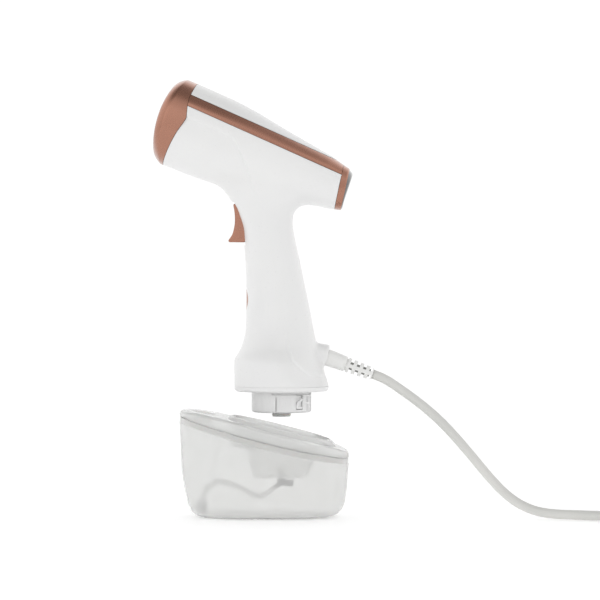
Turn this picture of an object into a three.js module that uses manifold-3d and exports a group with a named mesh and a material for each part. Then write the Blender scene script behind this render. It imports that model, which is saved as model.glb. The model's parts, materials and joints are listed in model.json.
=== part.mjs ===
// A handheld garment steamer held above its water tank: millimetres, +Z up.
// The nozzle faces -X, the cord leaves towards +X, and Y = 0 is the plane of symmetry.
// The origin is under the middle of the steamer and its tank, on the table.
import * as THREE from "three";
import { mergeVertices } from "three/addons/utils/BufferGeometryUtils.js";
import Module from "manifold-3d";

const wasm = await Module();
wasm.setup();

// ---------- driving dimensions ----------

const GAP = 0.3; // clearance between touching pieces
const WALL = 2.4; // shell wall of the handset
const FAR = 400; // longer than anything that a cutter has to pass through
const SIDES = 24; // facets round the big lofts
const DOCK_SIDES = 24; // facets round the connector and its socket

// The head runs along its own axis: u to the rear, v up, tilted nose up.
const HEAD_TILT = THREE.MathUtils.degToRad(24);
const HEAD_ORIGIN = new THREE.Vector3(-68.25, 0, 306.15);
const HEAD_FRONT = -6.5; // u of the nozzle's foremost edge
const FACE_CENTRE = 12.5; // v where the nozzle's edge is foremost
const FACE_RADIUS = 88; // the nozzle's edge is an arc, seen from the side
const BEVEL_DEPTH = 5.2; // bevel round the nozzle
const BEVEL_SCALE = 0.85;
const MOUTH_SCALE = 0.78; // opening that the steam plate fills
const STRIPE_LOW = 19.4; // v of the side trim's edges
const STRIPE_HIGH = 28.3;
const RING_FRONT = 143.6; // u of the rear ring's edges
const RING_REAR = 148.4;
const HEAD_REAR = 150.8; // u of the rear lens's crown
const REAR_TILT = 0.21; // the ring's edges lean forward by this much u for each mm of v
const REAR_LEAN = 0.5; // how much of that lean the lens's crown has
const REAR_CENTRE = 10;
const LENS_SCALE = 0.94; // the rear lens's size against the ring round it

// The handle ends in a bell-shaped skirt round the connector.
const HANDLE_TOP = 268;
const BASE_Z = 97.9; // underside of the base plate
const PLATE_THICK = 3.6;
const DOCK_X = 21.8; // axis of the connector and its socket
const CONNECTOR_R = 23.3;
const CONNECTOR_BOTTOM = 81.5;
const NOZZLE_BOTTOM = 78;
const NOZZLE_R = 7.2;

// The cord's port leans a little, and its strain relief leans more.
const PORT_R = 8.4;
const PORT_FACE = new THREE.Vector3(58.3, 0, 125.6);
const PORT_FALL = THREE.MathUtils.degToRad(10);
const RELIEF_POINT = new THREE.Vector3(58.4, 0, 123.9); // where its axis leaves the port
const RELIEF_FALL = THREE.MathUtils.degToRad(20.3);
const RELIEF_CUFF = 14.5; // length of the plain cuff
const RELIEF_LENGTH = 36.5; // whole visible length
const CORD_R = 3.75;

// Trigger and power button, in the front of the handle.
const TRIGGER_PIVOT = new THREE.Vector3(-5.4, 0, 240.5);
const TRIGGER_WIDTH = 13;
const BUTTON_Z = 169.3;
const BUTTON_HEIGHT = 16.4;
const BUTTON_WIDTH = 15;

// Tank.
const TANK_WALL = 2.2;
const LID_WALL = 2;
const RECESS_FLOOR = 57.4; // top of the flat floor that the skirt stands on when docked
const FLOOR_THICK = 2.2;
const RIM_OUTER = 39.4; // half length of the raised rim round the recess
const RIM_INNER = 37.9;
const FLANK = 5; // the rim's flank spreads this far along X, and as far down
const FLANK_SIDE = 2; // and this far along Y
const CUP_R = 25.3; // socket cup's outer radius
const CUP_WALL = 1.5;
const CUP_LEDGE = 41;
const CUP_BOTTOM = 30.8;

// Cord: its unseen length is wound into a coil on the table.
const COIL_X = 324;
const COIL_INNER = 31.3;
const COIL_OUTER = 46.7;
const COIL_BOTTOM = 1.6;
const COIL_TOP = 23.6;
const PLUG_R = 18.2;
const PLUG_LEAD = 28; // length of cord between the coil and the plug
const PLUG_LENGTH = 44;

// ---------- outlines ----------

/** A smooth function through points of rising x, flat beyond both ends. */
function trace(points) {
  const slope = (i) => {
    const before = points[Math.max(i - 1, 0)];
    const after = points[Math.min(i + 1, points.length - 1)];
    return (after[1] - before[1]) / (after[0] - before[0]);
  };
  return (x) => {
    if (x <= points[0][0]) return points[0][1];
    const next = points.findIndex((p) => p[0] > x);
    if (next < 0) return points[points.length - 1][1];
    const [x0, y0] = points[next - 1];
    const [x1, y1] = points[next];
    const span = x1 - x0;
    const t = (x - x0) / span;
    const [t2, t3] = [t * t, t * t * t];
    return (
      (2 * t3 - 3 * t2 + 1) * y0 +
      (t3 - 2 * t2 + t) * span * slope(next - 1) +
      (3 * t2 - 2 * t3) * y1 +
      (t3 - t2) * span * slope(next)
    );
  };
}

const headTop = trace([
  [-7, 38.4], [40, 38.6], [60, 37.4], [82, 34.7], [106, 31.9], [130, 29.3], [153, 25.6],
]);
const headBottom = trace([
  [-7, -30.3], [12, -29.9], [48, -28.2], [75, -24], [100, -18.5], [124, -13.3], [153, -4.6],
]);
const headHalf = trace([[-7, 37], [20, 37], [50, 35.4], [80, 31.5], [110, 26.5], [135, 21.5], [153, 18.4]]);

const handleFront = trace([
  [BASE_Z, -13.9], [100.6, -14.8], [122.5, -14.8], [126, -12.9], [130, -10.5], [134, -8.9], [142, -6.6],
  [150, -5.9], [170, -5.5], [192, -5.9], [214, -7.4], [224, -8.2], [232, -10.4], [240, -13.7], [246, -17.6],
  [252, -22.6], [HANDLE_TOP, -30],
]);
const handleBack = trace([
  [BASE_Z, 57.4], [101, 58.8], [108, 57], [116, 54.6], [124, 51.8], [137, 48.8], [149, 46.4], [161, 44.1],
  [180, 40.2], [199, 36.3], [217, 32.4], [227, 30.8], [234, 30.9], [239, 32.6], [242.4, 36.4], [245, 42],
  [HANDLE_TOP, 52],
]);
const handleHalf = trace([
  [BASE_Z, 34.6], [101, 35.6], [110, 35], [120, 33.4], [126, 30.6], [132, 27], [140, 23.4], [150, 20.9],
  [165, 19.4], [190, 18.4], [220, 18.2], [238, 18.6], [250, 20], [HANDLE_TOP, 21],
]);

const tankLeft = trace([
  [0, -40], [1.2, -44], [3.4, -47.4], [8, -50], [13, -51.7], [23, -53.9], [36, -55.8], [60, -57.3], [85, -58],
]);
const tankRight = trace([
  [0, 58], [1.2, 63.4], [3.4, 67], [8, 70.2], [13, 71.6], [23, 73], [36, 73.9], [60, 74.4], [85, 74.5],
]);
const tankHalf = trace([
  [0, 31], [1.2, 35], [3.4, 38], [8, 40.2], [13, 41.3], [23, 42.4], [36, 43.2], [60, 43.9], [85, 44.2],
]);

const seamZ = (x) => 62.1 - 0.2622 * x + 0.00061 * x * x; // the tub's sloping edge
// The top of the lid.
const lidZ = trace([[-60, 84.2], [-46, 82.6], [-23, 78], [20, 66.6], [62, 55.6], [76, 50.4]]);
const rimZ = (x) => 74.9 - 0.25 * x; // top of the raised rim

const faceBulge = (v) => (v - FACE_CENTRE) ** 2 / (2 * FACE_RADIUS);

// ---------- shapes ----------

/** A point on a unit superellipse. */
function roundedSquare(angle, power) {
  const [c, s] = [Math.cos(angle), Math.sin(angle)];
  return [Math.sign(c) * Math.abs(c) ** (2 / power), Math.sign(s) * Math.abs(s) ** (2 / power)];
}

/** A closed skin over rings of points; each ring turns anticlockwise seen from the last ring. */
function loft(rings) {
  const count = rings[0].length;
  const points = rings.flat();
  const faces = [];
  for (let r = 0; r + 1 < rings.length; r++)
    for (let i = 0; i < count; i++) {
      const [a, b] = [r * count + i, r * count + ((i + 1) % count)];
      faces.push(a, b, b + count, a, b + count, a + count);
    }
  const middle = (ring) => ring.reduce((sum, p) => sum.add(p), new THREE.Vector3()).divideScalar(count);
  const [first, last] = [points.length, points.length + 1];
  points.push(middle(rings[0]), middle(rings[rings.length - 1]));
  const end = (rings.length - 1) * count;
  for (let i = 0; i < count; i++) {
    const next = (i + 1) % count;
    faces.push(first, next, i, last, end + i, end + next);
  }
  return new THREE.BufferGeometry().setFromPoints(points).setIndex(faces);
}

const placed = (geometry, matrix) => geometry.clone().applyMatrix4(matrix);
const shift = (x, y, z) => new THREE.Matrix4().makeTranslation(x, y, z);
const HEAD = new THREE.Matrix4().makeRotationY(HEAD_TILT).setPosition(HEAD_ORIGIN);
const headPoint = (u, y, v) => new THREE.Vector3(u, y, v).applyMatrix4(HEAD);

/** The turn and move that carry +Y to a direction and the origin to a point. */
function aim(point, direction) {
  const lathed = new THREE.Vector3(0, 1, 0);
  const turn = new THREE.Quaternion().setFromUnitVectors(lathed, direction.clone().normalize());
  return new THREE.Matrix4().makeRotationFromQuaternion(turn).setPosition(point);
}
const UP = new THREE.Vector3(0, 0, 1);
const ALONG_X = new THREE.Vector3(1, 0, 0);
const ALONG_Y = new THREE.Vector3(0, 1, 0);
const ALONG_HEAD = new THREE.Vector3(Math.cos(HEAD_TILT), 0, -Math.sin(HEAD_TILT));
const falling = (angle) => new THREE.Vector3(Math.cos(angle), 0, -Math.sin(angle));

/** A turned piece from [radius, height] points, on an axis from a point along a direction. */
function turned(profile, point, direction, sides = 18) {
  const outline = profile.map(([r, h]) => new THREE.Vector2(r, h));
  return placed(new THREE.LatheGeometry(outline, sides), aim(point, direction));
}
/** A plain round bar. */
const bar = (radius, length, point, direction, sides = 14) =>
  turned([[0, 0], [radius, 0], [radius, length], [0, length]], point, direction, sides);
/** A ring or sleeve: the closed outline of a rectangle turned about the axis. */
const sleeve = (inner, outer, length, point, direction, sides = 20) =>
  turned([[inner, 0], [outer, 0], [outer, length], [inner, length], [inner, 0]], point, direction, sides);
/** A torus about a direction. */
function hoop(radius, thickness, point, direction, sides) {
  const flat = new THREE.TorusGeometry(radius, thickness, 6, sides).rotateX(Math.PI / 2);
  return placed(flat, aim(point, direction));
}
/** A box from its low and high corners. */
function block(low, high) {
  const size = high.map((h, i) => h - low[i]);
  return placed(new THREE.BoxGeometry(...size), shift(...low.map((l, i) => l + size[i] / 2)));
}
/** A round tube along a smooth path, solid unless its hollow is cut. */
function hose(points, radius, steps, sides = 8) {
  const path = new THREE.CatmullRomCurve3(points.map((p) => new THREE.Vector3(...p)));
  const section = new THREE.Shape().absarc(0, 0, radius, 0, 2 * Math.PI);
  return new THREE.ExtrudeGeometry(section, {
    steps, extrudePath: path, curveSegments: sides / 2, bevelEnabled: false,
  });
}
/** A compression spring along a direction. */
function coilSpring(radius, wire, length, turns, point, direction) {
  const points = [];
  const stops = turns * 8;
  for (let i = 0; i <= stops; i++) {
    const angle = (2 * Math.PI * i) / 8;
    points.push([radius * Math.cos(angle), (length * i) / stops, radius * Math.sin(angle)]);
  }
  return placed(hose(points, wire, stops, 4), aim(point, direction));
}
/** A side-view outline in [x, z], given its width along Y about the middle. */
function slab(outline, width) {
  const shape = new THREE.Shape(outline.map(([x, z]) => new THREE.Vector2(x, z)));
  const flat = new THREE.ExtrudeGeometry(shape, { depth: width, bevelEnabled: false, curveSegments: 8 });
  return flat.rotateX(Math.PI / 2).translate(0, width / 2, 0);
}

// ---------- solids ----------

/** A geometry as a manifold solid. */
function solid(geometry) {
  const bare = geometry.clone();
  bare.deleteAttribute("normal");
  bare.deleteAttribute("uv");
  const merged = mergeVertices(bare, 1e-4);
  const vertProperties = new Float32Array(merged.attributes.position.array);
  const triVerts = new Uint32Array(merged.index.array);
  return new wasm.Manifold(new wasm.Mesh({ numProp: 3, vertProperties, triVerts }));
}
/** A manifold solid as a geometry. */
function skin(body) {
  const { numProp, vertProperties, triVerts } = body.getMesh();
  const points = [];
  for (let i = 0; i < vertProperties.length; i += numProp) points.push(...vertProperties.slice(i, i + 3));
  const geometry = new THREE.BufferGeometry();
  geometry.setAttribute("position", new THREE.Float32BufferAttribute(points, 3));
  geometry.setIndex([...triVerts]);
  return geometry;
}
const joined = (...shapes) => shapes.map(solid).reduce((a, b) => a.add(b));
const without = (body, ...cutters) => cutters.reduce((left, cutter) => left.subtract(solid(cutter)), body);
/** The largest piece of a solid, which drops slivers that a cut leaves. */
const mainBody = (body) => body.decompose().sort((a, b) => b.volume() - a.volume())[0];

const group = new THREE.Group();
const FINISHES = {
  white: { color: 0xf2f2f0, roughness: 0.25, metalness: 0 },
  roseGold: { color: 0xb07862, roughness: 0.3, metalness: 0.8 },
  dark: { color: 0x2a2523, roughness: 0.2, metalness: 0 },
  frosted: { color: 0xdcdcd8, roughness: 0.35, metalness: 0 },
  steel: { color: 0xb4b4b6, roughness: 0.3, metalness: 0.9 },
  aluminium: { color: 0xa8aaac, roughness: 0.45, metalness: 0.8 },
  rubber: { color: 0x3a3a3a, roughness: 0.8, metalness: 0 },
  silicone: { color: 0xe4e2dc, roughness: 0.5, metalness: 0 },
  cordGrey: { color: 0xcfcec8, roughness: 0.5, metalness: 0 },
  board: { color: 0x2e5a3a, roughness: 0.6, metalness: 0 },
  brass: { color: 0xb08d4a, roughness: 0.35, metalness: 0.8 },
  nylon: { color: 0xd8d4c8, roughness: 0.6, metalness: 0 },
};
/** Adds one piece to the assembly. */
function piece(name, shape, finish) {
  const geometry = shape instanceof wasm.Manifold ? skin(shape) : shape;
  geometry.computeVertexNormals();
  const mesh = new THREE.Mesh(geometry, new THREE.MeshStandardMaterial(FINISHES[finish]));
  mesh.name = name;
  group.add(mesh);
}

// ---------- handset skins ----------

/** One section of the head at u, curved like the face by `curve`, or leaning like the rear by `lean`. */
function headRing(u, { inset = 0, scale = 1, curve = 0, lean = 0 } = {}) {
  const ring = [];
  const middle = 3 + (7.5 * u) / HEAD_REAR;
  for (let i = 0; i < SIDES; i++) {
    const [y, s] = roundedSquare((2 * Math.PI * i) / SIDES, 2.35);
    const reach = s > 0 ? headTop(u) - middle - inset : middle - headBottom(u) - inset;
    const v = middle + scale * reach * s;
    const bend = curve * faceBulge(v) - lean * REAR_TILT * (v - REAR_CENTRE);
    ring.push(headPoint(u + bend, scale * (headHalf(u) - inset) * y, v));
  }
  return ring;
}
/** The outer skin of the head, or its inner skin when inset. */
function headLoft(inset) {
  const body = [[6, 0.5], [16, 0.2], [28, 0], [42, 0], [60, 0], [78, 0], [96, 0], [112, 0], [128, 0]];
  const ends = inset > 0
    ? {
        front: [headRing(HEAD_FRONT + BEVEL_DEPTH, { inset, curve: 1 })],
        rear: [headRing(RING_FRONT + WALL, { inset, lean: 1 })],
      }
    : {
        front: [
          headRing(HEAD_FRONT, { scale: BEVEL_SCALE, curve: 1 }),
          headRing(HEAD_FRONT + BEVEL_DEPTH, { curve: 1 }),
        ],
        rear: [
          headRing(RING_FRONT, { lean: 1 }),
          headRing(RING_REAR - 0.8, { lean: 1 }),
          headRing(RING_REAR, { scale: LENS_SCALE + 0.02, lean: 1 }),
          headRing(HEAD_REAR - 1.5, { scale: LENS_SCALE - 0.01, lean: 0.75 }),
          headRing(HEAD_REAR - 0.5, { scale: 0.86, lean: REAR_LEAN }),
          headRing(HEAD_REAR, { scale: 0.6, lean: REAR_LEAN }),
        ],
      };
  const middle = body.map(([u, curve]) => headRing(u, { inset, curve }));
  return loft([...ends.front, ...middle, ...ends.rear]);
}
/** One level section of the handle and its skirt. */
function handleRing(z, inset = 0) {
  const [front, back] = [handleFront(z) + inset, handleBack(z) - inset];
  const half = handleHalf(z) - inset;
  const ring = [];
  for (let i = 0; i < SIDES; i++) {
    const [c, s] = roundedSquare((2 * Math.PI * i) / SIDES, 2.2);
    ring.push(new THREE.Vector3((front + back) / 2 + ((back - front) / 2) * c, half * s, z));
  }
  return ring;
}
const HANDLE_LEVELS = [101.8, 112, 122, 126, 130, 135, 142, 152, 170, 192, 214, 226, 234, 240, 245, 252];
const handleLoft = (inset) =>
  loft([...HANDLE_LEVELS.map((z) => handleRing(z, inset)), handleRing(HANDLE_TOP - inset, inset)]);

const portAxis = falling(PORT_FALL);
const reliefAxis = falling(RELIEF_FALL);
const backAlong = (point, axis, distance) => point.clone().addScaledVector(axis, -distance);

const headSkin = solid(headLoft(0));
const portBoss = bar(PORT_R, 26, backAlong(PORT_FACE, portAxis, 26), portAxis, 28);
const outerSkin = headSkin.add(solid(handleLoft(0))).add(solid(portBoss));
const hollow = solid(headLoft(WALL)).add(solid(handleLoft(WALL)));

/** A slice of the head between two u values and two v values, as a cutter. */
const headSlice = (u0, u1, v0, v1, y0 = -FAR, y1 = FAR) => placed(block([u0, y0, v0], [u1, y1, v1]), HEAD);
/** The prism that leaves only what is in front of (or behind) the bezel's swept-back rear edge. */
function bezelPrism(offset) {
  const edge = [
    [10.6, 60], [10.6, 26], [12, STRIPE_LOW], [15, 11], [12.8, -2], [11.7, -12.4], [11.2, -26], [11.2, -60],
  ];
  const outline = [[-FAR, 60], ...edge.map(([u, v]) => [u + offset, v]), [-FAR, -60]];
  return placed(slab(outline, FAR), HEAD);
}
/** The prism that leaves only what is behind the rear ring's leaning front edge. */
function ringPrism(offset) {
  const edge = (v) => RING_FRONT - REAR_TILT * (v - REAR_CENTRE) + offset;
  return placed(slab([[edge(60), 60], [FAR, 60], [FAR, -40], [edge(-40), -40]], FAR), HEAD);
}
const mouth = loft([
  headRing(HEAD_FRONT - 9, { scale: MOUTH_SCALE, curve: 1 }),
  headRing(HEAD_FRONT + BEVEL_DEPTH + 2, { scale: MOUTH_SCALE, curve: 1 }),
]);

// ---------- head ----------

function buildBezel() {
  const ring = headSkin.intersect(solid(bezelPrism(-GAP / 2)));
  piece("front_bezel", mainBody(ring.subtract(hollow).subtract(solid(mouth))), "roseGold");
}

/** The trims and the top cover are cut from the same skin, in bands. */
function buildBands() {
  const behindBezel = headSkin.subtract(hollow).subtract(solid(bezelPrism(GAP / 2)));
  const bands = behindBezel.subtract(solid(ringPrism(-GAP / 2)));
  const cover = bands.intersect(solid(headSlice(-FAR, FAR, STRIPE_HIGH + GAP / 2, FAR)));
  piece("top_cover", mainBody(cover), "white");
  const stripe = bands.intersect(solid(headSlice(-FAR, FAR, STRIPE_LOW + GAP / 2, STRIPE_HIGH - GAP / 2)));
  for (const [name, y0, y1] of [["left_trim", -FAR, -GAP / 2], ["right_trim", GAP / 2, FAR]])
    piece(name, mainBody(stripe.intersect(solid(headSlice(-FAR, FAR, -FAR, FAR, y0, y1)))), "roseGold");
}

const lensHole = (grow) =>
  loft([
    headRing(RING_REAR - 14, { scale: LENS_SCALE + grow, lean: 1 }),
    headRing(HEAD_REAR + 6, { scale: LENS_SCALE + grow, lean: 1 }),
  ]);

function buildRear() {
  const rear = headSkin.intersect(solid(ringPrism(GAP / 2)));
  piece("rear_ring", mainBody(rear.subtract(solid(lensHole(0.012)))), "roseGold");
  const lens = rear.intersect(solid(lensHole(0))).intersect(solid(ringPrism(RING_REAR - RING_FRONT - 2.4)));
  piece("rear_lens", mainBody(lens), "dark");
}

/** Steam plate: a curved plate with rings of steam holes. */
function buildSteamPlate() {
  const plate = (front, back, scale) =>
    loft([front, back].map((depth) => headRing(HEAD_FRONT + depth, { scale, curve: 1 })));
  const holes = [];
  for (const [count, across, up] of [[9, 19, 21], [5, 9, 11]])
    for (let i = 0; i < count; i++) {
      const angle = (2 * Math.PI * (i + 0.5)) / count;
      const point = headPoint(-FAR / 20, across * Math.cos(angle), 4 + up * Math.sin(angle));
      holes.push(bar(1.5, 60, point, ALONG_HEAD, 8));
    }
  piece("steam_plate", without(solid(plate(1, 4, MOUTH_SCALE - 0.012)), ...holes), "steel");
  const gasket = solid(plate(4.3, 6.3, 0.74)).subtract(solid(plate(3, 8, 0.66)));
  piece("plate_gasket", gasket, "silicone");
}

/** A level plug of the head's own section, for the pieces stacked behind the steam plate. */
const core = (u0, u1, scale, curve = 0) => loft([headRing(u0, { scale, curve }), headRing(u1, { scale })]);

const INLET_Y = 7; // Y of the boiler's water inlet
function buildBoiler() {
  const chamber = core(-3, 9, 0.58, 1);
  const rearChamber = core(15, 40, 0.5);
  const passage = bar(3, 12, headPoint(6, 0, 14), ALONG_HEAD, 12);
  piece("boiler", without(solid(core(0.2, 24, 0.7, 1)), chamber, rearChamber, passage), "aluminium");
  const inlet = bar(3, 9, headPoint(26, INLET_Y, 0), ALONG_HEAD, 14);
  const cover = joined(core(24.3, 27.3, 0.7), inlet);
  piece("boiler_cover", without(cover, bar(1.4, 20, headPoint(20, INLET_Y, 0), ALONG_HEAD, 10)), "aluminium");
  const arc = [];
  for (let i = 0; i <= 16; i++) {
    const [y, s] = roundedSquare(THREE.MathUtils.degToRad(-50 + (280 * i) / 16), 2.35);
    const p = headPoint(14, 0.805 * 37 * y, 3.8 + 0.805 * (s > 0 ? 34.4 : 33) * s);
    arc.push([p.x, p.y, p.z]);
  }
  piece("heating_element", hose(arc, 2.6, 28, 6), "steel");
  piece("thermostat", bar(7.5, 7, headPoint(27.6, -9, 10), ALONG_HEAD, 20), "steel");
  piece("thermal_fuse", bar(2.4, 14, headPoint(30.2, -17, -12), ALONG_Y, 12), "steel");
  const window = bar(6, 20, headPoint(30, INLET_Y, 0), ALONG_HEAD, 16);
  piece("heat_shield", without(solid(core(37, 38.4, 0.86)), window), "aluminium");
}

function buildControls() {
  const board = placed(block([84, -13, 4], [132, 13, 5.6]), HEAD);
  piece("control_board", board, "board");
  piece("indicator_led", placed(block([139, -2.5, 3], [145, 2.5, 8]), HEAD), "silicone");
}

// ---------- handle ----------

const SCREWS = [
  { name: "upper_shell_screw", at: [26.5, 212] },
  { name: "lower_shell_screw", at: [1.5, 146] },
];
const BOSS_R = 3.4;
const SCREW_R = 1.4;

/** The slot for the trigger, and the hole for the power button. */
const triggerSlot = block([-40, -TRIGGER_WIDTH / 2 - 0.5, 211.6], [2, TRIGGER_WIDTH / 2 + 0.5, 245.6]);
function buttonPrism(grow) {
  const [high, wide] = [BUTTON_HEIGHT / 2 + grow, BUTTON_WIDTH / 2 + grow];
  const oval = new THREE.Shape().absellipse(0, 0, high, wide, 0, 2 * Math.PI);
  const flat = new THREE.ExtrudeGeometry(oval, { depth: 14, bevelEnabled: false, curveSegments: 16 });
  return flat.rotateY(Math.PI / 2).translate(-12, 0, BUTTON_Z);
}

function buildShells() {
  const head = headSlice(-FAR, FAR, STRIPE_LOW - GAP / 2, FAR);
  const ring = ringPrism(-GAP / 2);
  const below = block([-FAR, -FAR, -10], [FAR, FAR, BASE_Z + PLATE_THICK + GAP]);
  const bore = bar(4.9, 40, backAlong(RELIEF_POINT, reliefAxis, 30), reliefAxis, 24);
  const counterbore = bar(6.9, 10, backAlong(RELIEF_POINT, reliefAxis, 1.6), reliefAxis, 28);
  const cuts = [head, bezelPrism(GAP / 2), ring, below, bore, counterbore, triggerSlot, buttonPrism(0.3)];
  const walls = outerSkin.subtract(hollow);
  const posts = SCREWS.map(({ at: [x, z] }) => bar(BOSS_R, 80, new THREE.Vector3(x, -40, z), ALONG_Y, 16));
  const stems = joined(...posts).intersect(outerSkin);
  const whole = without(walls.add(stems), ...cuts);
  const screwHoles = SCREWS.map(({ at: [x, z] }) =>
    bar(SCREW_R + GAP, 60, new THREE.Vector3(x, -12, z), ALONG_Y, 12),
  );
  const headHoles = SCREWS.map(({ at: [x, z] }) => bar(2.9, 40, new THREE.Vector3(x, 11.7, z), ALONG_Y, 16));
  const drilled = without(whole, ...screwHoles, ...headHoles);
  const left = solid(block([-FAR, -FAR, -FAR], [FAR, -GAP / 2, FAR]));
  const right = solid(block([-FAR, GAP / 2, -FAR], [FAR, FAR, FAR]));
  piece("left_shell", mainBody(drilled.intersect(left)), "white");
  piece("right_shell", mainBody(drilled.intersect(right)), "white");
  for (const { name, at: [x, z] } of SCREWS) {
    const profile = [[0, 0], [SCREW_R, 0], [SCREW_R, 23], [2.6, 23], [2.6, 25], [0, 25]];
    piece(name, turned(profile, new THREE.Vector3(x, -11, z), ALONG_Y, 12), "steel");
  }
}

function buildTrigger() {
  const outline = [
    [-15.7, 243.6], [-14.6, 237], [-14.3, 231], [-14.8, 226], [-16.2, 220.4], [-19.4, 215.8], [-19.1, 213.8],
    [-7.6, 213.8], [-1.6, 216], [-2.2, 232], [-2, 243], [-5.4, 244.6], [-10, 244.6],
  ];
  const pivotHole = bar(1.8, 60, new THREE.Vector3(TRIGGER_PIVOT.x, -30, TRIGGER_PIVOT.z), ALONG_Y, 16);
  piece("trigger", without(solid(slab(outline, TRIGGER_WIDTH)), pivotHole), "roseGold");
  const pinEnd = new THREE.Vector3(TRIGGER_PIVOT.x, -10.5, TRIGGER_PIVOT.z);
  piece("trigger_pin", bar(1.5, 21, pinEnd, ALONG_Y), "steel");
  piece("trigger_spring", coilSpring(2.6, 0.5, 5.4, 4, new THREE.Vector3(-0.9, 0, 220), ALONG_X), "steel");
  const body = joined(block([5.4, -5, 214], [13, 5, 234]), block([4.4, -1.5, 226], [6, 1.5, 230]));
  piece("trigger_switch", body, "dark");
}

function buildPowerButton() {
  const behind = solid(block([-2.6, -FAR, -FAR], [FAR, FAR, FAR]));
  const cap = outerSkin.intersect(solid(buttonPrism(0))).subtract(behind);
  const stem = bar(2, 3.4, new THREE.Vector3(-3, 0, BUTTON_Z), ALONG_X, 14);
  piece("power_button", mainBody(cap.add(solid(stem))), "roseGold");
  piece("button_spring", coilSpring(3, 0.4, 4, 3, new THREE.Vector3(-2.1, 0, BUTTON_Z), ALONG_X), "steel");
  piece("power_switch", block([2.6, -4, BUTTON_Z - 4], [7, 4, BUTTON_Z + 4]), "dark");
}

/** Pump in the lower handle, fed from below and feeding the boiler above. */
const PUMP_X = 19.5;
function buildPump() {
  const foot = new THREE.Vector3(PUMP_X, 0, 123);
  const profile = [
    [0, 0], [2.6, 0], [2.6, 8], [7, 10], [7, 14], [10, 14], [10, 46], [7, 46], [7, 50], [2.6, 52], [2.6, 60], [0, 60],
  ];
  const coil = block([PUMP_X - 12, -12, 141], [PUMP_X + 12, 12, 165]);
  piece("pump", solid(turned(profile, foot, UP, 24)).add(solid(coil)), "nylon");
  const mount = (z) => sleeve(7.3, 11.6, 3.4, new THREE.Vector3(PUMP_X, 0, z), UP);
  piece("lower_pump_mount", mount(133.4), "rubber");
  piece("upper_pump_mount", mount(169.4), "rubber");
  const inlet = [[DOCK_X, 0, 108.5], [21.6, 0, 113], [19.7, 0, 118], [PUMP_X, 0, 122.6]];
  piece("water_hose", hose(inlet, 3.2, 6), "silicone");
  const start = [
    [PUMP_X, 0, 183.4], [19.5, 0, 192], [19.2, 1, 206], [19, 3, 222], [13.6, 4.6, 240], [0, 5.6, 258],
  ];
  const end = [60, 50, 42, 35.4].map((u) => headPoint(u, INLET_Y, 0).toArray());
  piece("feed_hose", hose([...start, ...end], 2.8, 22, 8), "silicone");
}

/** Strain relief: a cuff, then a notched tapering sleeve that bends with the cord. */
function buildStrainRelief() {
  const start = backAlong(RELIEF_POINT, reliefAxis, 21);
  const s = (length) => 21 + length;
  const profile = [
    [0, 0], [7, 0], [7, 2.6], [4.6, 2.6], [4.6, s(-1.2)], [6.5, s(-1.2)], [6.5, s(2)], [5.9, s(RELIEF_CUFF)],
    [4.6, s(RELIEF_CUFF)], [4.6, s(RELIEF_CUFF + 1.2)],
  ];
  const segment = (RELIEF_LENGTH - RELIEF_CUFF - 1.2) / 4;
  for (let i = 0; i < 4; i++) {
    const from = s(RELIEF_CUFF + 1.2 + i * segment);
    const radius = 5.8 - 0.28 * i;
    profile.push([radius, from], [radius - 0.2, from + segment * 0.72]);
    profile.push([4.4, from + segment * 0.72], [4.4, from + segment]);
  }
  profile.push([0, s(RELIEF_LENGTH)]);
  piece("strain_relief", turned(profile, start, reliefAxis, 14), "cordGrey");
  piece("cord_clamp", block([32, -9, 126], [35.2, 9, 140]), "nylon");
}

// ---------- base and connector ----------

const onDock = (z) => new THREE.Vector3(DOCK_X, 0, z);
const HOOK_TURN = THREE.MathUtils.degToRad(-49); // where the hook sits round the connector
const roundDock = (geometry, angle) => geometry.rotateZ(angle).translate(DOCK_X, 0, 0);
/** A level slice of the skirt between two heights. */
const skirtSlice = (z0, z1, inset = 0) => loft([z0, (z0 + z1) / 2, z1].map((z) => handleRing(z, inset)));

const BASE_SCREWS = [[-7.2, 0], [50.8, 0], [DOCK_X, 27.6], [DOCK_X, -27.6]];

function buildBase() {
  const holes = BASE_SCREWS.map(([x, y]) => bar(SCREW_R + GAP, 20, new THREE.Vector3(x, y, 90), UP, 12));
  const sinks = BASE_SCREWS.map(([x, y]) => bar(2.9, 2.2, new THREE.Vector3(x, y, BASE_Z - 0.5), UP, 14));
  const opening = bar(20, 20, onDock(90), UP, SIDES);
  const plate = without(solid(skirtSlice(BASE_Z, BASE_Z + PLATE_THICK)), opening, ...holes, ...sinks);
  piece("base_plate", plate, "white");
  BASE_SCREWS.forEach(([x, y], i) => {
    const profile = [[0, 0], [2.5, 0], [2.5, 1.2], [SCREW_R, 1.2], [SCREW_R, 9], [0, 9]];
    piece(`base_screw_${i + 1}`, turned(profile, new THREE.Vector3(x, y, BASE_Z + 0.1), UP, 12), "steel");
  });
}

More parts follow.
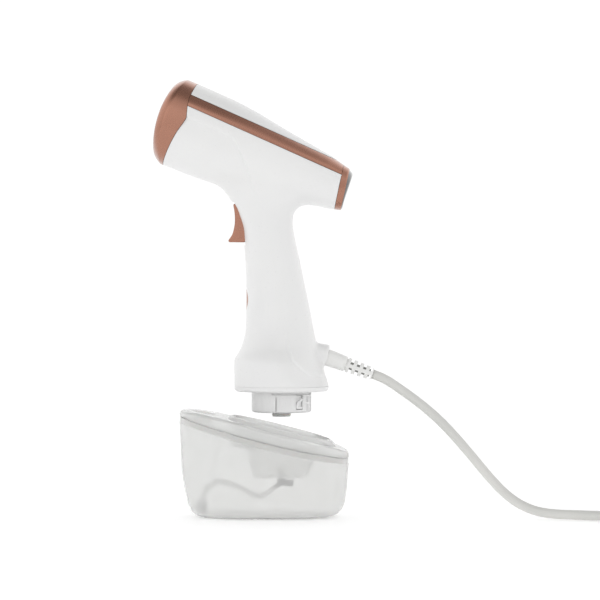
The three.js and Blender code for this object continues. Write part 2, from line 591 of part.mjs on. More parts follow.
function buildConnector() {
  const top = BASE_Z - GAP;
  const profile = [
    [NOZZLE_R - 2.6, CONNECTOR_BOTTOM], [CONNECTOR_R - 2, CONNECTOR_BOTTOM], [CONNECTOR_R, CONNECTOR_BOTTOM + 2],
    [CONNECTOR_R, top], [CONNECTOR_R - 3.3, top], [CONNECTOR_R - 3.3, 87], [NOZZLE_R - 2.6, 87],
    [NOZZLE_R - 2.6, CONNECTOR_BOTTOM],
  ];
  const body = solid(turned(profile, new THREE.Vector3(DOCK_X, 0, 0), UP, DOCK_SIDES));
  const hookWindow = roundDock(block([18, -3.4, 84], [30, 3.4, 95.2]), HOOK_TURN);
  const band = solid(sleeve(CONNECTOR_R - 1.1, CONNECTOR_R + 4, 11.6, onDock(82.8), UP, DOCK_SIDES));
  const panel = band.intersect(solid(block([18.1, -30, 80], [60, 0, 96])));
  piece("connector", without(body.subtract(panel), hookWindow), "white");
  piece("connector_seal", hoop(NOZZLE_R - 0.2, 0.6, onDock(79.7), UP, DOCK_SIDES), "silicone");
  const nozzle = [
    [2.2, NOZZLE_BOTTOM], [NOZZLE_R, NOZZLE_BOTTOM], [NOZZLE_R, 78.9], [NOZZLE_R - 1, 78.9], [NOZZLE_R - 1, 80.5],
    [NOZZLE_R, 80.5], [NOZZLE_R, CONNECTOR_BOTTOM - GAP],
    [NOZZLE_R - 2.9, CONNECTOR_BOTTOM - GAP], [NOZZLE_R - 2.9, 104], [3, 104], [3, 108.2], [2.2, 108.2],
    [2.2, NOZZLE_BOTTOM],
  ];
  piece("inlet_nozzle", turned(nozzle, new THREE.Vector3(DOCK_X, 0, 0), UP, 24), "white");
  const hook = [
    [20.3, 94.9], [20.3, 84.6], [21.8, 84.6], [21.8, 88.6], [23.1, 89.6], [23.1, 90.6], [21.8, 91.6], [21.8, 94.9],
  ];
  piece("latch_hook", roundDock(slab(hook, 5.6), HOOK_TURN), "white");
}

// ---------- tank ----------

/** A ring of the tank's outline at a height, or on a sloping surface given as a function of x. */
function tankRing(level, inset = 0, outlineAt = 70) {
  const sloping = typeof level === "function";
  const z = sloping ? outlineAt : level;
  const [left, right, half] = [tankLeft(z) + inset, tankRight(z) - inset, tankHalf(z) - inset];
  const ring = [];
  for (let i = 0; i < SIDES; i++) {
    const [c, s] = roundedSquare((2 * Math.PI * i) / SIDES, 2.7);
    const x = (left + right) / 2 + ((right - left) / 2) * c;
    ring.push(new THREE.Vector3(x, half * s, sloping ? level(x) : z));
  }
  return ring;
}
const TUB_LEVELS = [0, 1.2, 3.4, 8, 13, 23, 36];
const above = (surface, height) => (x) => surface(x) + height;

/** A prism round the dock with the skirt's own section, between two heights. */
const dockOval = (grow, z0, z1, flareX = 0, flareY = 0) => {
  const ring = (z, growX, growY) =>
    Array.from({ length: SIDES }, (_, i) => {
      const [c, s] = roundedSquare((2 * Math.PI * i) / SIDES, 2.2);
      const [x, y] = [(RIM_INNER + growX) * c, (RIM_INNER - 1.2 + growY) * s];
      return new THREE.Vector3(DOCK_X + x, y, typeof z === "function" ? z(DOCK_X + x) : z);
    });
  return loft([ring(z0, grow + flareX, grow + flareY), ring(z1, grow, grow)]);
};

const FILLER = { x: -38.5, lean: THREE.MathUtils.degToRad(10.5), r: 6.5, bore: 5.2, capR: 8.6 };
const fillerTop = new THREE.Vector3(FILLER.x, 0, lidZ(FILLER.x) - 0.4);
const fillerAxis = new THREE.Vector3(Math.sin(FILLER.lean), 0, Math.cos(FILLER.lean));

function buildTankBody() {
  const outer = loft([...TUB_LEVELS.map((z) => tankRing(z)), tankRing(above(seamZ, -GAP / 2))]);
  const inside = TUB_LEVELS.slice(1).map((z) => tankRing(z + TANK_WALL - 1.2, TANK_WALL));
  const inner = loft([...inside, tankRing(above(seamZ, 2), TANK_WALL)]);
  piece("tank_body", solid(outer).subtract(solid(inner)), "frosted");
}

function buildLid() {
  const outer = loft([
    tankRing(above(seamZ, GAP / 2)), tankRing(above(lidZ, -3.6)), tankRing(above(lidZ, -1.2), 1),
    tankRing(lidZ, 3.4), tankRing(lidZ, 12),
  ]);
  const inner = loft([
    tankRing(above(seamZ, -9), LID_WALL), tankRing(above(lidZ, -LID_WALL - 2), LID_WALL),
    tankRing(above(lidZ, -LID_WALL), LID_WALL + 3), tankRing(above(lidZ, -LID_WALL), 12),
  ]);
  const lip = solid(loft([tankRing(above(seamZ, -5), 4), tankRing(above(seamZ, 1.4), 4)])).subtract(
    solid(loft([tankRing(above(seamZ, -9), 5.4), tankRing(above(seamZ, 3), 5.4)])),
  );
  const shoulder = solid(loft([tankRing(above(seamZ, GAP / 2), 1), tankRing(above(seamZ, 1.6), 1)])).subtract(
    solid(loft([tankRing(above(seamZ, -2), 5.4), tankRing(above(seamZ, 3), 5.4)])),
  );
  const rim = solid(dockOval(RIM_OUTER - RIM_INNER, RECESS_FLOOR - FLOOR_THICK, rimZ));
  const flank = solid(dockOval(RIM_OUTER - RIM_INNER, above(rimZ, -FLANK), rimZ, FLANK, FLANK_SIDE));
  const recess = solid(dockOval(0, RECESS_FLOOR, 120));
  const shell = solid(outer).subtract(solid(inner)).add(lip).add(shoulder).add(rim).add(flank).subtract(recess);
  const dockHole = bar(CONNECTOR_R + 0.6, 30, onDock(40), UP, DOCK_SIDES);
  const filler = bar(FILLER.r + GAP, 20, backAlong(fillerTop, fillerAxis, 12), fillerAxis, 20);
  const seat = bar(FILLER.capR + GAP, 10, backAlong(fillerTop, fillerAxis, 1), fillerAxis, 24);
  piece("tank_lid", mainBody(without(shell, dockHole, filler, seat)), "frosted");
  const skirt = [[0, 0.1], [FILLER.bore, 0.1], [FILLER.bore, -6], [FILLER.r - 0.6, -6], [FILLER.r, -5]];
  const plug = [...skirt, [FILLER.r, -0.7], [FILLER.capR, -0.7], [FILLER.capR, 0.5], [0, 1.1]];
  piece("filler_plug", turned(plug, fillerTop, fillerAxis, 20), "silicone");
  const seal = solid(loft([tankRing(above(seamZ, -4.2), 2.5), tankRing(above(seamZ, -1.4), 2.5)])).subtract(
    solid(loft([tankRing(above(seamZ, -8), 3.7), tankRing(above(seamZ, 2), 3.7)])),
  );
  piece("lid_seal", seal, "silicone");
}

function buildSocket() {
  const [outer, inner] = [CUP_R, CUP_R - CUP_WALL];
  const top = RECESS_FLOOR - FLOOR_THICK - 1.5;
  const profile = [
    [1.9, CUP_BOTTOM], [22.4, CUP_BOTTOM], [22.4, CUP_LEDGE - 1.6], [outer, CUP_LEDGE - 1.6], [outer, top - 1.6],
    [28.6, top - 1.6], [28.6, top], [inner, top], [inner, CUP_LEDGE], [20.8, CUP_LEDGE], [20.8, CUP_BOTTOM + 1.6],
    [1.9, CUP_BOTTOM + 1.6], [1.9, CUP_BOTTOM],
  ];
  piece("socket_cup", turned(profile, new THREE.Vector3(DOCK_X, 0, 0), UP, DOCK_SIDES), "frosted");
  piece("socket_seal", sleeve(24.4, 28.2, 0.9, onDock(top + GAP), UP, DOCK_SIDES), "silicone");
  const valve = [[0, -1.3], [1.3, -1.3], [1.3, 3.4], [4.6, 3.4], [4.6, 5], [0, 5]];
  piece("tank_valve", turned(valve, onDock(CUP_BOTTOM + 1.6), UP, 20), "nylon");
  piece("valve_spring", coilSpring(2.9, 0.45, 2.2, 2, onDock(CUP_BOTTOM + 2.2), UP), "steel");
  const stub = sleeve(1.9, 3.2, 5.4, onDock(CUP_BOTTOM - GAP - 5.4), UP, 20);
  const bodyBlock = block([23.6, -3.6, 23.8], [31.2, 3.6, 28.4]);
  const barb = bar(1.6, 9, new THREE.Vector3(DOCK_X + 2.6, -0.2, 27), new THREE.Vector3(-1, 0, -0.5), 12);
  piece("hose_fitting", joined(stub, bodyBlock, barb), "dark");
}

/** The pickup hose lies in an S and ends in a filter weight on the tank's floor. */
const PICKUP = [
  [15.9, -0.2, 22.6], [13.2, -0.6, 20.2], [6.6, -1.4, 16.2], [-0.4, -2, 16.8], [-8.2, -2, 21.4], [-19.9, -1.6, 26.2],
  [-30, -1, 26.4], [-37.2, -0.4, 20.8], [-39.9, 0, 14.6],
];
function buildPickup() {
  piece("pickup_hose", hose(PICKUP, 2.1, 28, 8), "silicone");
  const weight = [[0, 0], [4.2, 0], [4.6, 1], [4.6, 7.6], [2.8, 9.6], [0, 9.6]];
  const foot = new THREE.Vector3(-40.6, 0, 3.4);
  piece("filter_weight", turned(weight, foot, UP, 18), "steel");
}

// ---------- cord ----------

/** Where the free cord runs: out of the strain relief, down to the table, and along it to the coil. */
const CORD_START = RELIEF_POINT.clone().addScaledVector(reliefAxis, RELIEF_LENGTH + GAP);
const CORD_ROUTE = [
  CORD_START.toArray(),
  [99.6, 0, 108.6], [106.5, 0, 104.9], [114.3, 0, 99.6], [122.1, 0, 94.1], [129.9, 0, 88.2], [137.7, 0, 81.8],
  [146, 0, 74.2], [154, 0, 66], [162, 0, 57], [170, -0.4, 47.6], [178, -1.4, 38], [186, -3.2, 28.8],
  [195, -6, 19.6], [206, -10, 11.4], [219, -15.4, 6], [233, -21.6, 4.1], [248, -28.4, 3.9], [263, -34.6, 3.9],
  [275, -38.6, 3.9], [286, -41.6, 3.9], [297.4, -42.7, 3.9],
];

function buildCord() {
  piece("cord", hose(CORD_ROUTE, CORD_R, 36, 8), "cordGrey");
  const chamfer = 3;
  const coil = [
    [COIL_INNER + chamfer, COIL_BOTTOM], [COIL_OUTER - chamfer, COIL_BOTTOM], [COIL_OUTER, COIL_BOTTOM + chamfer],
    [COIL_OUTER, COIL_TOP - chamfer], [COIL_OUTER - chamfer, COIL_TOP], [COIL_INNER + chamfer, COIL_TOP],
    [COIL_INNER, COIL_TOP - chamfer], [COIL_INNER, COIL_BOTTOM + chamfer], [COIL_INNER + chamfer, COIL_BOTTOM],
  ];
  piece("cord_coil", turned(coil, new THREE.Vector3(COIL_X, 0, 0), UP, 32), "cordGrey");
  const [low, high] = [COIL_BOTTOM - GAP, COIL_TOP + GAP];
  const tieBand = (grow) =>
    block([COIL_INNER - 2 * GAP - grow, -4, low - grow], [COIL_OUTER + 2 * GAP + grow, 4, high + grow]);
  const tie = without(solid(tieBand(1.2)), placed(tieBand(0), new THREE.Matrix4().makeScale(1, 2, 1)));
  const turn = new THREE.Matrix4().makeRotationZ(THREE.MathUtils.degToRad(125)).setPosition(COIL_X, 0, 0);
  piece("coil_tie", placed(skin(tie), turn), "rubber");
}

/** The mains plug lies beyond the coil, in line with the turn that leads to it. */
function buildPlug() {
  const foot = new THREE.Vector3(COIL_X + PLUG_LEAD, CORD_R - COIL_OUTER, PLUG_R + 0.4);
  const body = [
    [0, 0], [4.4, 0], [5.4, 17], [9, 20], [14.6, 23], [PLUG_R - 1, 28], [PLUG_R, 32], [PLUG_R, PLUG_LENGTH - 1],
    [PLUG_R - 1, PLUG_LENGTH], [0, PLUG_LENGTH],
  ];
  piece("plug_body", turned(body, foot, ALONG_X, 22), "cordGrey");
  for (const [i, y] of [-9.5, 9.5].entries()) {
    const pin = [[0, 0], [2.4, 0], [2.4, 16.6], [1.6, 18.6], [0, 19]];
    const root = new THREE.Vector3(foot.x + PLUG_LENGTH + GAP, foot.y + y, foot.z);
    piece(`plug_pin_${i + 1}`, turned(pin, root, ALONG_X, 14), "brass");
  }
}

buildBezel();
buildBands();
buildRear();
buildSteamPlate();
buildBoiler();
buildControls();
buildShells();
buildTrigger();
buildPowerButton();
buildPump();
buildStrainRelief();
buildBase();
buildConnector();
buildTankBody();
buildLid();
buildSocket();
buildPickup();
buildCord();
buildPlug();

export default group;
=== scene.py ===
# A handheld garment steamer above its water tank: the visible surfaces, cord, materials, light and camera.
# Lengths in this file are millimetres until make() turns them into metres.
import json
import math
import bmesh
import bpy
import numpy as np
from mathutils import Matrix, Vector
from mathutils.bvhtree import BVHTree


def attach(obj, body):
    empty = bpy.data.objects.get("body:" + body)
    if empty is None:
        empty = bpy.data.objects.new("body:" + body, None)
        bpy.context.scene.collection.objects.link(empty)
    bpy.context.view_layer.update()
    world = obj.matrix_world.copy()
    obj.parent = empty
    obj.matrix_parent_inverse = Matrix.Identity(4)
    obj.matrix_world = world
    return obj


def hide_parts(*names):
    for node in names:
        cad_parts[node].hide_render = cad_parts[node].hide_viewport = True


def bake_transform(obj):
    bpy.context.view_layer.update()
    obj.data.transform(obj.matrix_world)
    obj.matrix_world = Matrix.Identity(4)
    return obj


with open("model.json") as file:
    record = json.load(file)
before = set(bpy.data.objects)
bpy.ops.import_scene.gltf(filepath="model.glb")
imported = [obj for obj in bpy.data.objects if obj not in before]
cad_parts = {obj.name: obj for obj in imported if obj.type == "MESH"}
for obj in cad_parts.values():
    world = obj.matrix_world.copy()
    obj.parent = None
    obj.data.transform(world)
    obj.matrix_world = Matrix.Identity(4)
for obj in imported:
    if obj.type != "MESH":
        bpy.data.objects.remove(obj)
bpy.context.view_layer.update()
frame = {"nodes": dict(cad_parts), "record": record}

MM = 0.001
FAR = 400.0
GAP = 0.3

# ---------- camera ----------

VIEW_CENTRE = Vector((0.0363, 0.0, 0.1689))
VIEW_WIDTH = 0.468  # width of the picture at the object
VIEW_DISTANCE = 2.6
VIEW_AZIMUTH = math.radians(1.6)
VIEW_ELEVATION = math.radians(0.9)


def add_camera():
    data = bpy.data.cameras.new("camera")
    data.sensor_width = 36.0
    data.lens = data.sensor_width * VIEW_DISTANCE / VIEW_WIDTH
    data.clip_start, data.clip_end = 0.1, 60.0
    camera = bpy.data.objects.new("camera", data)
    bpy.context.scene.collection.objects.link(camera)
    level = math.cos(VIEW_ELEVATION)
    away = Vector((math.sin(VIEW_AZIMUTH) * level, -math.cos(VIEW_AZIMUTH) * level, math.sin(VIEW_ELEVATION)))
    camera.location = VIEW_CENTRE + VIEW_DISTANCE * away
    camera.rotation_euler = (-away).to_track_quat("-Z", "Y").to_euler()
    bpy.context.scene.camera = camera


add_camera()

# ---------- curves and meshes ----------


def trace(points):
    """A smooth function through points of rising x, flat beyond both ends."""
    xs, ys = (np.array(column, float) for column in zip(*points))
    slopes = np.array([
        (ys[min(i + 1, len(xs) - 1)] - ys[max(i - 1, 0)]) / (xs[min(i + 1, len(xs) - 1)] - xs[max(i - 1, 0)])
        for i in range(len(xs))
    ])

    def value(x):
        x = np.clip(np.asarray(x, float), xs[0], xs[-1])
        i = np.clip(np.searchsorted(xs, x, side="right") - 1, 0, len(xs) - 2)
        span = xs[i + 1] - xs[i]
        t = (x - xs[i]) / span
        return (
            (2 * t**3 - 3 * t**2 + 1) * ys[i] + (t**3 - 2 * t**2 + t) * span * slopes[i]
            + (3 * t**2 - 2 * t**3) * ys[i + 1] + (t**3 - t**2) * span * slopes[i + 1]
        )

    return value


def ease(t):
    """Rises smoothly from 0 to 1 as t does."""
    t = np.clip(t, 0, 1)
    return t * t * (3 - 2 * t)


def make(name, points, faces, smooth=True):
    """A mesh object from points in millimetres."""
    mesh = bpy.data.meshes.new(name)
    mesh.from_pydata([tuple(p) for p in np.asarray(points, float) * MM], [], [tuple(f) for f in faces])
    mesh.validate()
    mesh.polygons.foreach_set("use_smooth", [smooth] * len(mesh.polygons))
    piece = bpy.data.objects.new(name, mesh)
    bpy.context.scene.collection.objects.link(piece)
    return piece


def grid_faces(rows, count, closed=True):
    """Quads between rows of points."""
    faces = []
    for r in range(rows - 1):
        for i in range(count if closed else count - 1):
            a, b = r * count + i, r * count + (i + 1) % count
            faces.append((a, b, b + count, a + count))
    return faces


def loft(name, rings):
    """A closed skin over rings of points that turn anticlockwise seen from the last ring."""
    rings = np.asarray(rings, float)
    rows, count, _ = rings.shape
    points = np.vstack([rings.reshape(-1, 3), rings[0].mean(0), rings[-1].mean(0)])
    faces = grid_faces(rows, count)
    first, last, end = rows * count, rows * count + 1, (rows - 1) * count
    for i in range(count):
        faces.append((first, (i + 1) % count, i))
        faces.append((last, end + i, end + (i + 1) % count))
    return make(name, points, faces)


def superellipse(count, power):
    """Points of a unit superellipse, evenly spread over its angle."""
    angle = np.arange(count) * 2 * math.pi / count
    c, s = np.cos(angle), np.sin(angle)
    return np.sign(c) * np.abs(c) ** (2 / power), np.sign(s) * np.abs(s) ** (2 / power)


def turned(name, profile, point, direction, sides=64):
    """A turned piece from (radius, height) points that start and end on the axis, or close on themselves."""
    direction = Vector(direction).normalized()
    turn = Vector((0, 0, 1)).rotation_difference(direction).to_matrix()
    angle = np.arange(sides) * 2 * math.pi / sides
    closed = profile[0][0] > 0
    rows = profile if not closed else profile[:-1] if profile[0] == profile[-1] else profile
    rings = np.array([[(r * math.cos(a), r * math.sin(a), h) for a in angle] for r, h in rows])
    flat = rings.reshape(-1, 3) @ np.array(turn).T + np.array(point)
    if closed:
        faces = grid_faces(len(rows), sides)
        last = (len(rows) - 1) * sides
        faces += [(last + i, last + (i + 1) % sides, (i + 1) % sides, i) for i in range(sides)]
        piece = make(name, flat, faces)
    else:
        inner = rings[1:-1].reshape(-1, 3) @ np.array(turn).T + np.array(point)
        ends = np.array([[0, 0, rows[0][1]], [0, 0, rows[-1][1]]]) @ np.array(turn).T + np.array(point)
        faces = grid_faces(len(rows) - 2, sides)
        first, end, last = (len(rows) - 2) * sides, (len(rows) - 3) * sides, (len(rows) - 2) * sides + 1
        for i in range(sides):
            faces.append((first, (i + 1) % sides, i))
            faces.append((last, end + i, end + (i + 1) % sides))
        piece = make(name, np.vstack([inner, ends]), faces)
    return face_out(piece)


def face_out(piece):
    """Turns a closed mesh's faces outwards."""
    bm = bmesh.new()
    bm.from_mesh(piece.data)
    bmesh.ops.recalc_face_normals(bm, faces=bm.faces)
    bm.to_mesh(piece.data)
    bm.free()
    return piece


def bar(name, radius, length, point, direction, sides=48):
    return turned(name, [(0, 0), (radius, 0), (radius, length), (0, length)], point, direction, sides)


def box(name, low, high, matrix=None):
    """A box between two corners, in millimetres, moved by a matrix if one is given."""
    corners = np.array([[(low, high)[(i >> k) & 1][k] for k in range(3)] for i in range(8)], float)
    faces = [(0, 2, 3, 1), (4, 5, 7, 6), (0, 1, 5, 4), (2, 6, 7, 3), (0, 4, 6, 2), (1, 3, 7, 5)]
    if matrix is not None:
        corners = apply(matrix, corners)
    return make(name, corners, faces, smooth=False)


def prism(name, outline, y0, y1, matrix=None):
    """A side-view outline in (x, z), carried across from y0 to y1."""
    n = len(outline)
    points = np.array([(x, y, z) for y in (y0, y1) for x, z in outline])
    if matrix is not None:
        points = apply(matrix, points)
    faces = [tuple(range(n)), tuple(range(2 * n - 1, n - 1, -1))]
    faces += [(i, i + n, (i + 1) % n + n, (i + 1) % n) for i in range(n)]
    return face_out(make(name, points, faces, smooth=False))


def apply(matrix, points):
    """Points through a 4x4 matrix."""
    matrix = np.array(matrix)
    return np.asarray(points, float) @ matrix[:3, :3].T + matrix[:3, 3]


def settle(piece):
    """Applies a piece's modifiers to its mesh."""
    bpy.context.view_layer.update()
    mesh = bpy.data.meshes.new_from_object(piece.evaluated_get(bpy.context.evaluated_depsgraph_get()))
    piece.modifiers.clear()
    old, piece.data = piece.data, mesh
    bpy.data.meshes.remove(old)
    return piece


def combine(piece, other, operation, keep=False):
    """One boolean with a closed cutter, which is deleted unless it is kept."""
    modifier = piece.modifiers.new("combine", "BOOLEAN")
    modifier.solver = "MANIFOLD"
    modifier.operation = operation
    modifier.object = other
    settle(piece)
    if not keep:
        discard(other)
    return piece


def discard(*pieces):
    for piece in pieces:
        mesh = piece.data
        bpy.data.objects.remove(piece)
        bpy.data.meshes.remove(mesh)


def cut(piece, *cutters, keep=False):
    for cutter in cutters:
        combine(piece, cutter, "DIFFERENCE", keep)
    return piece


def common(piece, other, keep=False):
    return combine(piece, other, "INTERSECT", keep)


def duplicate(piece, name):
    copy = bpy.data.objects.new(name, piece.data.copy())
    bpy.context.scene.collection.objects.link(copy)
    return copy


def sharpen(piece, degrees=35):
    """Smooth shading with crisp edges above an angle."""
    piece.data.polygons.foreach_set("use_smooth", [True] * len(piece.data.polygons))
    piece.data.set_sharp_from_angle(angle=math.radians(degrees))
    return piece


def tube(name, path, radius, sides=16):
    """A round tube along a path, with flat caps, carried along without twist."""
    path = np.asarray(path, float)
    radius = np.broadcast_to(radius, len(path))
    ahead = np.gradient(path, axis=0)
    ahead /= np.linalg.norm(ahead, axis=1)[:, None]
    side = np.cross(ahead[0], (0, 1, 0.2))
    rings = []
    angle = np.arange(sides) * 2 * math.pi / sides
    for p, t, r in zip(path, ahead, radius):
        side = side - t * side.dot(t)
        side /= np.linalg.norm(side)
        up = np.cross(t, side)
        rings.append(p + r * (np.cos(angle)[:, None] * side + np.sin(angle)[:, None] * up))
    return face_out(loft(name, rings))


def spline(points, step):
    """Catmull-Rom through points, cut into even steps of about one length."""
    points = np.asarray(points, float)
    padded = np.vstack([2 * points[0] - points[1], points, 2 * points[-1] - points[-2]])
    fine = []
    t = np.linspace(0, 1, 12, endpoint=False)[:, None]
    for a, b, c, d in zip(padded, padded[1:], padded[2:], padded[3:]):
        bend, twist = 2 * a - 5 * b + 4 * c - d, 3 * b - a - 3 * c + d
        fine.append(0.5 * (2 * b + (c - a) * t + bend * t**2 + twist * t**3))
    fine = np.vstack(fine + [points[-1:]])
    along = np.concatenate([[0], np.cumsum(np.linalg.norm(np.diff(fine, axis=0), axis=1))])
    stops = np.linspace(0, along[-1], max(2, round(along[-1] / step)) + 1)
    return np.column_stack([np.interp(stops, along, fine[:, k]) for k in range(3)]), along[-1]


# ---------- cord ----------

CORD_R = 3.75
RELIEF_POINT = np.array((58.4, 0, 123.9))  # where the strain relief's axis leaves the port
RELIEF_FALL = math.radians(20.3)
RELIEF_AXIS = np.array((math.cos(RELIEF_FALL), 0, -math.sin(RELIEF_FALL)))
RELIEF_CUFF = 14.5
RELIEF_LENGTH = 36.5
COIL_X = 324.0
COIL_RADII = (42.75, 35.25)  # outer and inner columns of turns
COIL_LAYERS = (3.95, 11.5, 18.9)  # heights of the three layers
PLUG_LEAD = 28.0
CORD_EXIT = RELIEF_POINT + (RELIEF_LENGTH + GAP) * RELIEF_AXIS
CORD_ROUTE = [
    tuple(CORD_EXIT),
    (99.6, 0, 108.6), (106.5, 0, 104.9), (114.3, 0, 99.6), (122.1, 0, 94.1), (129.9, 0, 88.2),
    (137.7, 0, 81.8),
    (146, 0, 74.2), (154, 0, 66), (162, 0, 57), (170, -0.4, 47.6), (178, -1.4, 38), (186, -3.2, 28.8),
    (195, -6, 19.6), (206, -10, 11.4), (219, -15.4, 6), (233, -21.6, 4.1), (248, -28.4, 3.9),
    (263, -34.6, 3.9),
    (275, -38.6, 3.9), (286, -41.6, 3.9), (297.4, -42.7, 3.9),
]
# Each turn's column and layer, in the order that it is wound.
COIL_TURNS = [(0, 0), (1, 0), (1, 1), (0, 1), (1, 2), (0, 2)]
TURN_STEPS = 36


def coil_path():
    """The wound turns, entered and left at the coil's -Y side."""
    path = []
    for k, (column, layer) in enumerate(COIL_TURNS):
        start = np.array((COIL_RADII[column], COIL_LAYERS[layer]))
        next_column, next_layer = COIL_TURNS[min(k + 1, len(COIL_TURNS) - 1)]
        then = np.array((COIL_RADII[next_column], COIL_LAYERS[next_layer]))
        for step in range(TURN_STEPS):
            share = step / TURN_STEPS
            radius, height = start + (then - start) * ease((share - 0.86) / 0.14)
            angle = 2 * math.pi * (share - 0.25)
            path.append((COIL_X + radius * math.cos(angle), radius * math.sin(angle), height))
    return path


def make_cord():
    end = (COIL_X + PLUG_LEAD, -COIL_RADII[0], COIL_LAYERS[2])
    coil = coil_path()
    leaving = [(COIL_X + f * PLUG_LEAD, -COIL_RADII[0], COIL_LAYERS[2]) for f in (0, 0.35, 0.7)]
    path, length = spline(CORD_ROUTE + coil + leaving + [end], 3.2)
    cord = tube("power_cord", path, CORD_R - 0.03, sides=16)
    return cord, path * MM, length * MM


cord, cord_path, cord_length = make_cord()

# ---------- outlines shared with the frame ----------

HEAD_TILT = math.radians(24)
HEAD_ORIGIN = Vector((-68.25, 0, 306.15))
HEAD = np.array(Matrix.Translation(HEAD_ORIGIN) @ Matrix.Rotation(HEAD_TILT, 4, "Y"))
ALONG_HEAD = (math.cos(HEAD_TILT), 0, -math.sin(HEAD_TILT))
HEAD_FRONT = -6.5
FACE_CENTRE = 12.5
FACE_RADIUS = 88.0
BEVEL_DEPTH = 5.2
BEVEL_SCALE = 0.85
MOUTH_SCALE = 0.78
STRIPE_LOW, STRIPE_HIGH = 19.4, 28.3
RING_FRONT, RING_REAR, HEAD_REAR = 143.6, 149.2, 151.0
REAR_TILT, REAR_LEAN, REAR_CENTRE = 0.21, 0.5, 10.0
LENS_SCALE = 0.94
WALL = 2.4

HANDLE_TOP = 268.0
BASE_Z = 97.9
PLATE_THICK = 3.6
DOCK_X = 21.8
CONNECTOR_R = 23.3
CONNECTOR_BOTTOM = 81.5
NOZZLE_BOTTOM = 78.0
NOZZLE_R = 7.2
PORT_R = 8.4
PORT_FACE = np.array((58.3, 0, 125.6))
PORT_FALL = math.radians(10)
PORT_AXIS = np.array((math.cos(PORT_FALL), 0, -math.sin(PORT_FALL)))
TRIGGER_WIDTH = 13.0
BUTTON_Z, BUTTON_HEIGHT, BUTTON_WIDTH = 169.3, 16.4, 15.0

head_top = trace([(-7, 38.4), (40, 38.6), (60, 37.4), (82, 34.7), (106, 31.9), (130, 29.3), (153, 25.6)])
head_bottom = trace([(-7, -30.3), (12, -29.9), (48, -28.2), (75, -24), (100, -18.5), (124, -13.3),
                     (153, -4.6)])
head_half = trace([(-7, 37), (20, 37), (50, 35.4), (80, 31.5), (110, 26.5), (135, 21.5), (153, 18.4)])
handle_front = trace([
    (97.9, -13.9), (100.6, -14.8), (122.5, -14.8), (126, -12.9), (130, -10.5), (134, -8.9), (142, -6.6),
    (150, -5.9), (170, -5.5), (192, -5.9), (214, -7.4), (224, -8.2), (232, -10.4), (240, -13.7), (246, -17.6),
    (252, -22.6), (268, -30),
])
handle_back = trace([
    (97.9, 57.4), (101, 58.8), (108, 57), (116, 54.6), (124, 51.8), (137, 48.8), (149, 46.4), (161, 44.1),
    (180, 40.2), (199, 36.3), (217, 32.4), (227, 30.8), (234, 30.9), (239, 32.6), (242.4, 36.4), (245, 42),
    (268, 52),
])
handle_half = trace([
    (97.9, 34.6), (101, 35.6), (110, 35), (120, 33.4), (126, 30.6), (132, 27), (140, 23.4), (150, 20.9),
    (165, 19.4), (190, 18.4), (220, 18.2), (238, 18.6), (250, 20), (268, 21),
])
face_curve = trace([(-1.3, 1), (6, 0.5), (16, 0.2), (28, 0)])  # how much of the face's bulge a section keeps
# How many times REAR_TILT a section leans.
rear_lean = trace([(128, 0), (143.6, 1), (149.2, 1), (150.2, 0.75), (150.7, REAR_LEAN), (152, REAR_LEAN)])
FINE = 128


def head_ring(u, inset=0.0, scale=1.0, curve=None, lean=None, sides=FINE):
    """One section of the head at u."""
    curve = face_curve(u) if curve is None else curve
    lean = rear_lean(u) if lean is None else lean
    y, s = superellipse(sides, 2.35)
    middle = 3 + 7.5 * u / HEAD_REAR
    reach = np.where(s > 0, head_top(u) - middle - inset, middle - head_bottom(u) - inset)
    v = middle + scale * reach * s
    bend = curve * (v - FACE_CENTRE) ** 2 / (2 * FACE_RADIUS) - lean * REAR_TILT * (v - REAR_CENTRE)
    return apply(HEAD, np.column_stack([u + bend, scale * (head_half(u) - inset) * y, v]))


def head_skin(name):
    """The head's whole outer skin, with its bevelled nose and its rounded rear."""
    nose = [(HEAD_FRONT + BEVEL_DEPTH * (1 - math.cos(a)) * 0.5 + BEVEL_DEPTH * 0.5 * a / 1.571,
             BEVEL_SCALE + (1 - BEVEL_SCALE) * (0.45 * math.sin(a) + 0.55 * a / 1.571))
            for a in np.linspace(0, math.pi / 2, 7)]
    rings = [head_ring(u, scale=s, curve=1) for u, s in nose]
    rings += [head_ring(u) for u in np.linspace(0.5, RING_FRONT, 72)]
    tail = [(145.2, 1.0), (147.4, 1.0), (148.2, 0.999), (148.4, 0.995), (149.0, 0.967), (RING_REAR, 0.958),
            (149.5, 0.945), (149.9, 0.925), (150.2, 0.9), (150.45, 0.87), (150.65, 0.82), (150.8, 0.74),
            (150.9, 0.6),
            (HEAD_REAR, 0.5), (HEAD_REAR, 0.2)]
    rings += [head_ring(u, scale=s) for u, s in tail]
    return loft(name, rings)


def handle_ring(z, inset=0.0, sides=FINE):
    front, back = handle_front(z) + inset, handle_back(z) - inset
    c, s = superellipse(sides, 2.2)
    x = (front + back) / 2 + (back - front) / 2 * c
    return np.column_stack([x, (handle_half(z) - inset) * s, np.full(sides, z)])


def handle_skin(name, inset=0.0, top=HANDLE_TOP, bottom=BASE_Z):
    return loft(name, [handle_ring(z, inset) for z in np.linspace(bottom, top, 96)])


def head_slice(name, u0, u1, v0, v1, y0=-FAR, y1=FAR):
    return box(name, (u0, y0, v0), (u1, y1, v1), HEAD)


def ring_prism(name, offset):
    """What is behind the rear ring's leaning front edge."""
    def edge(v):
        return RING_FRONT - REAR_TILT * (v - REAR_CENTRE) + offset

    return prism(name, [(edge(60), 60), (FAR, 60), (FAR, -40), (edge(-40), -40)], -FAR, FAR, HEAD)


BEZEL_EDGE = trace([(-60, 11.2), (-26, 11.2), (-12.4, 11.7), (-2, 12.8), (11, 15), (STRIPE_LOW, 12),
                    (26, 10.6), (60, 10.6)])


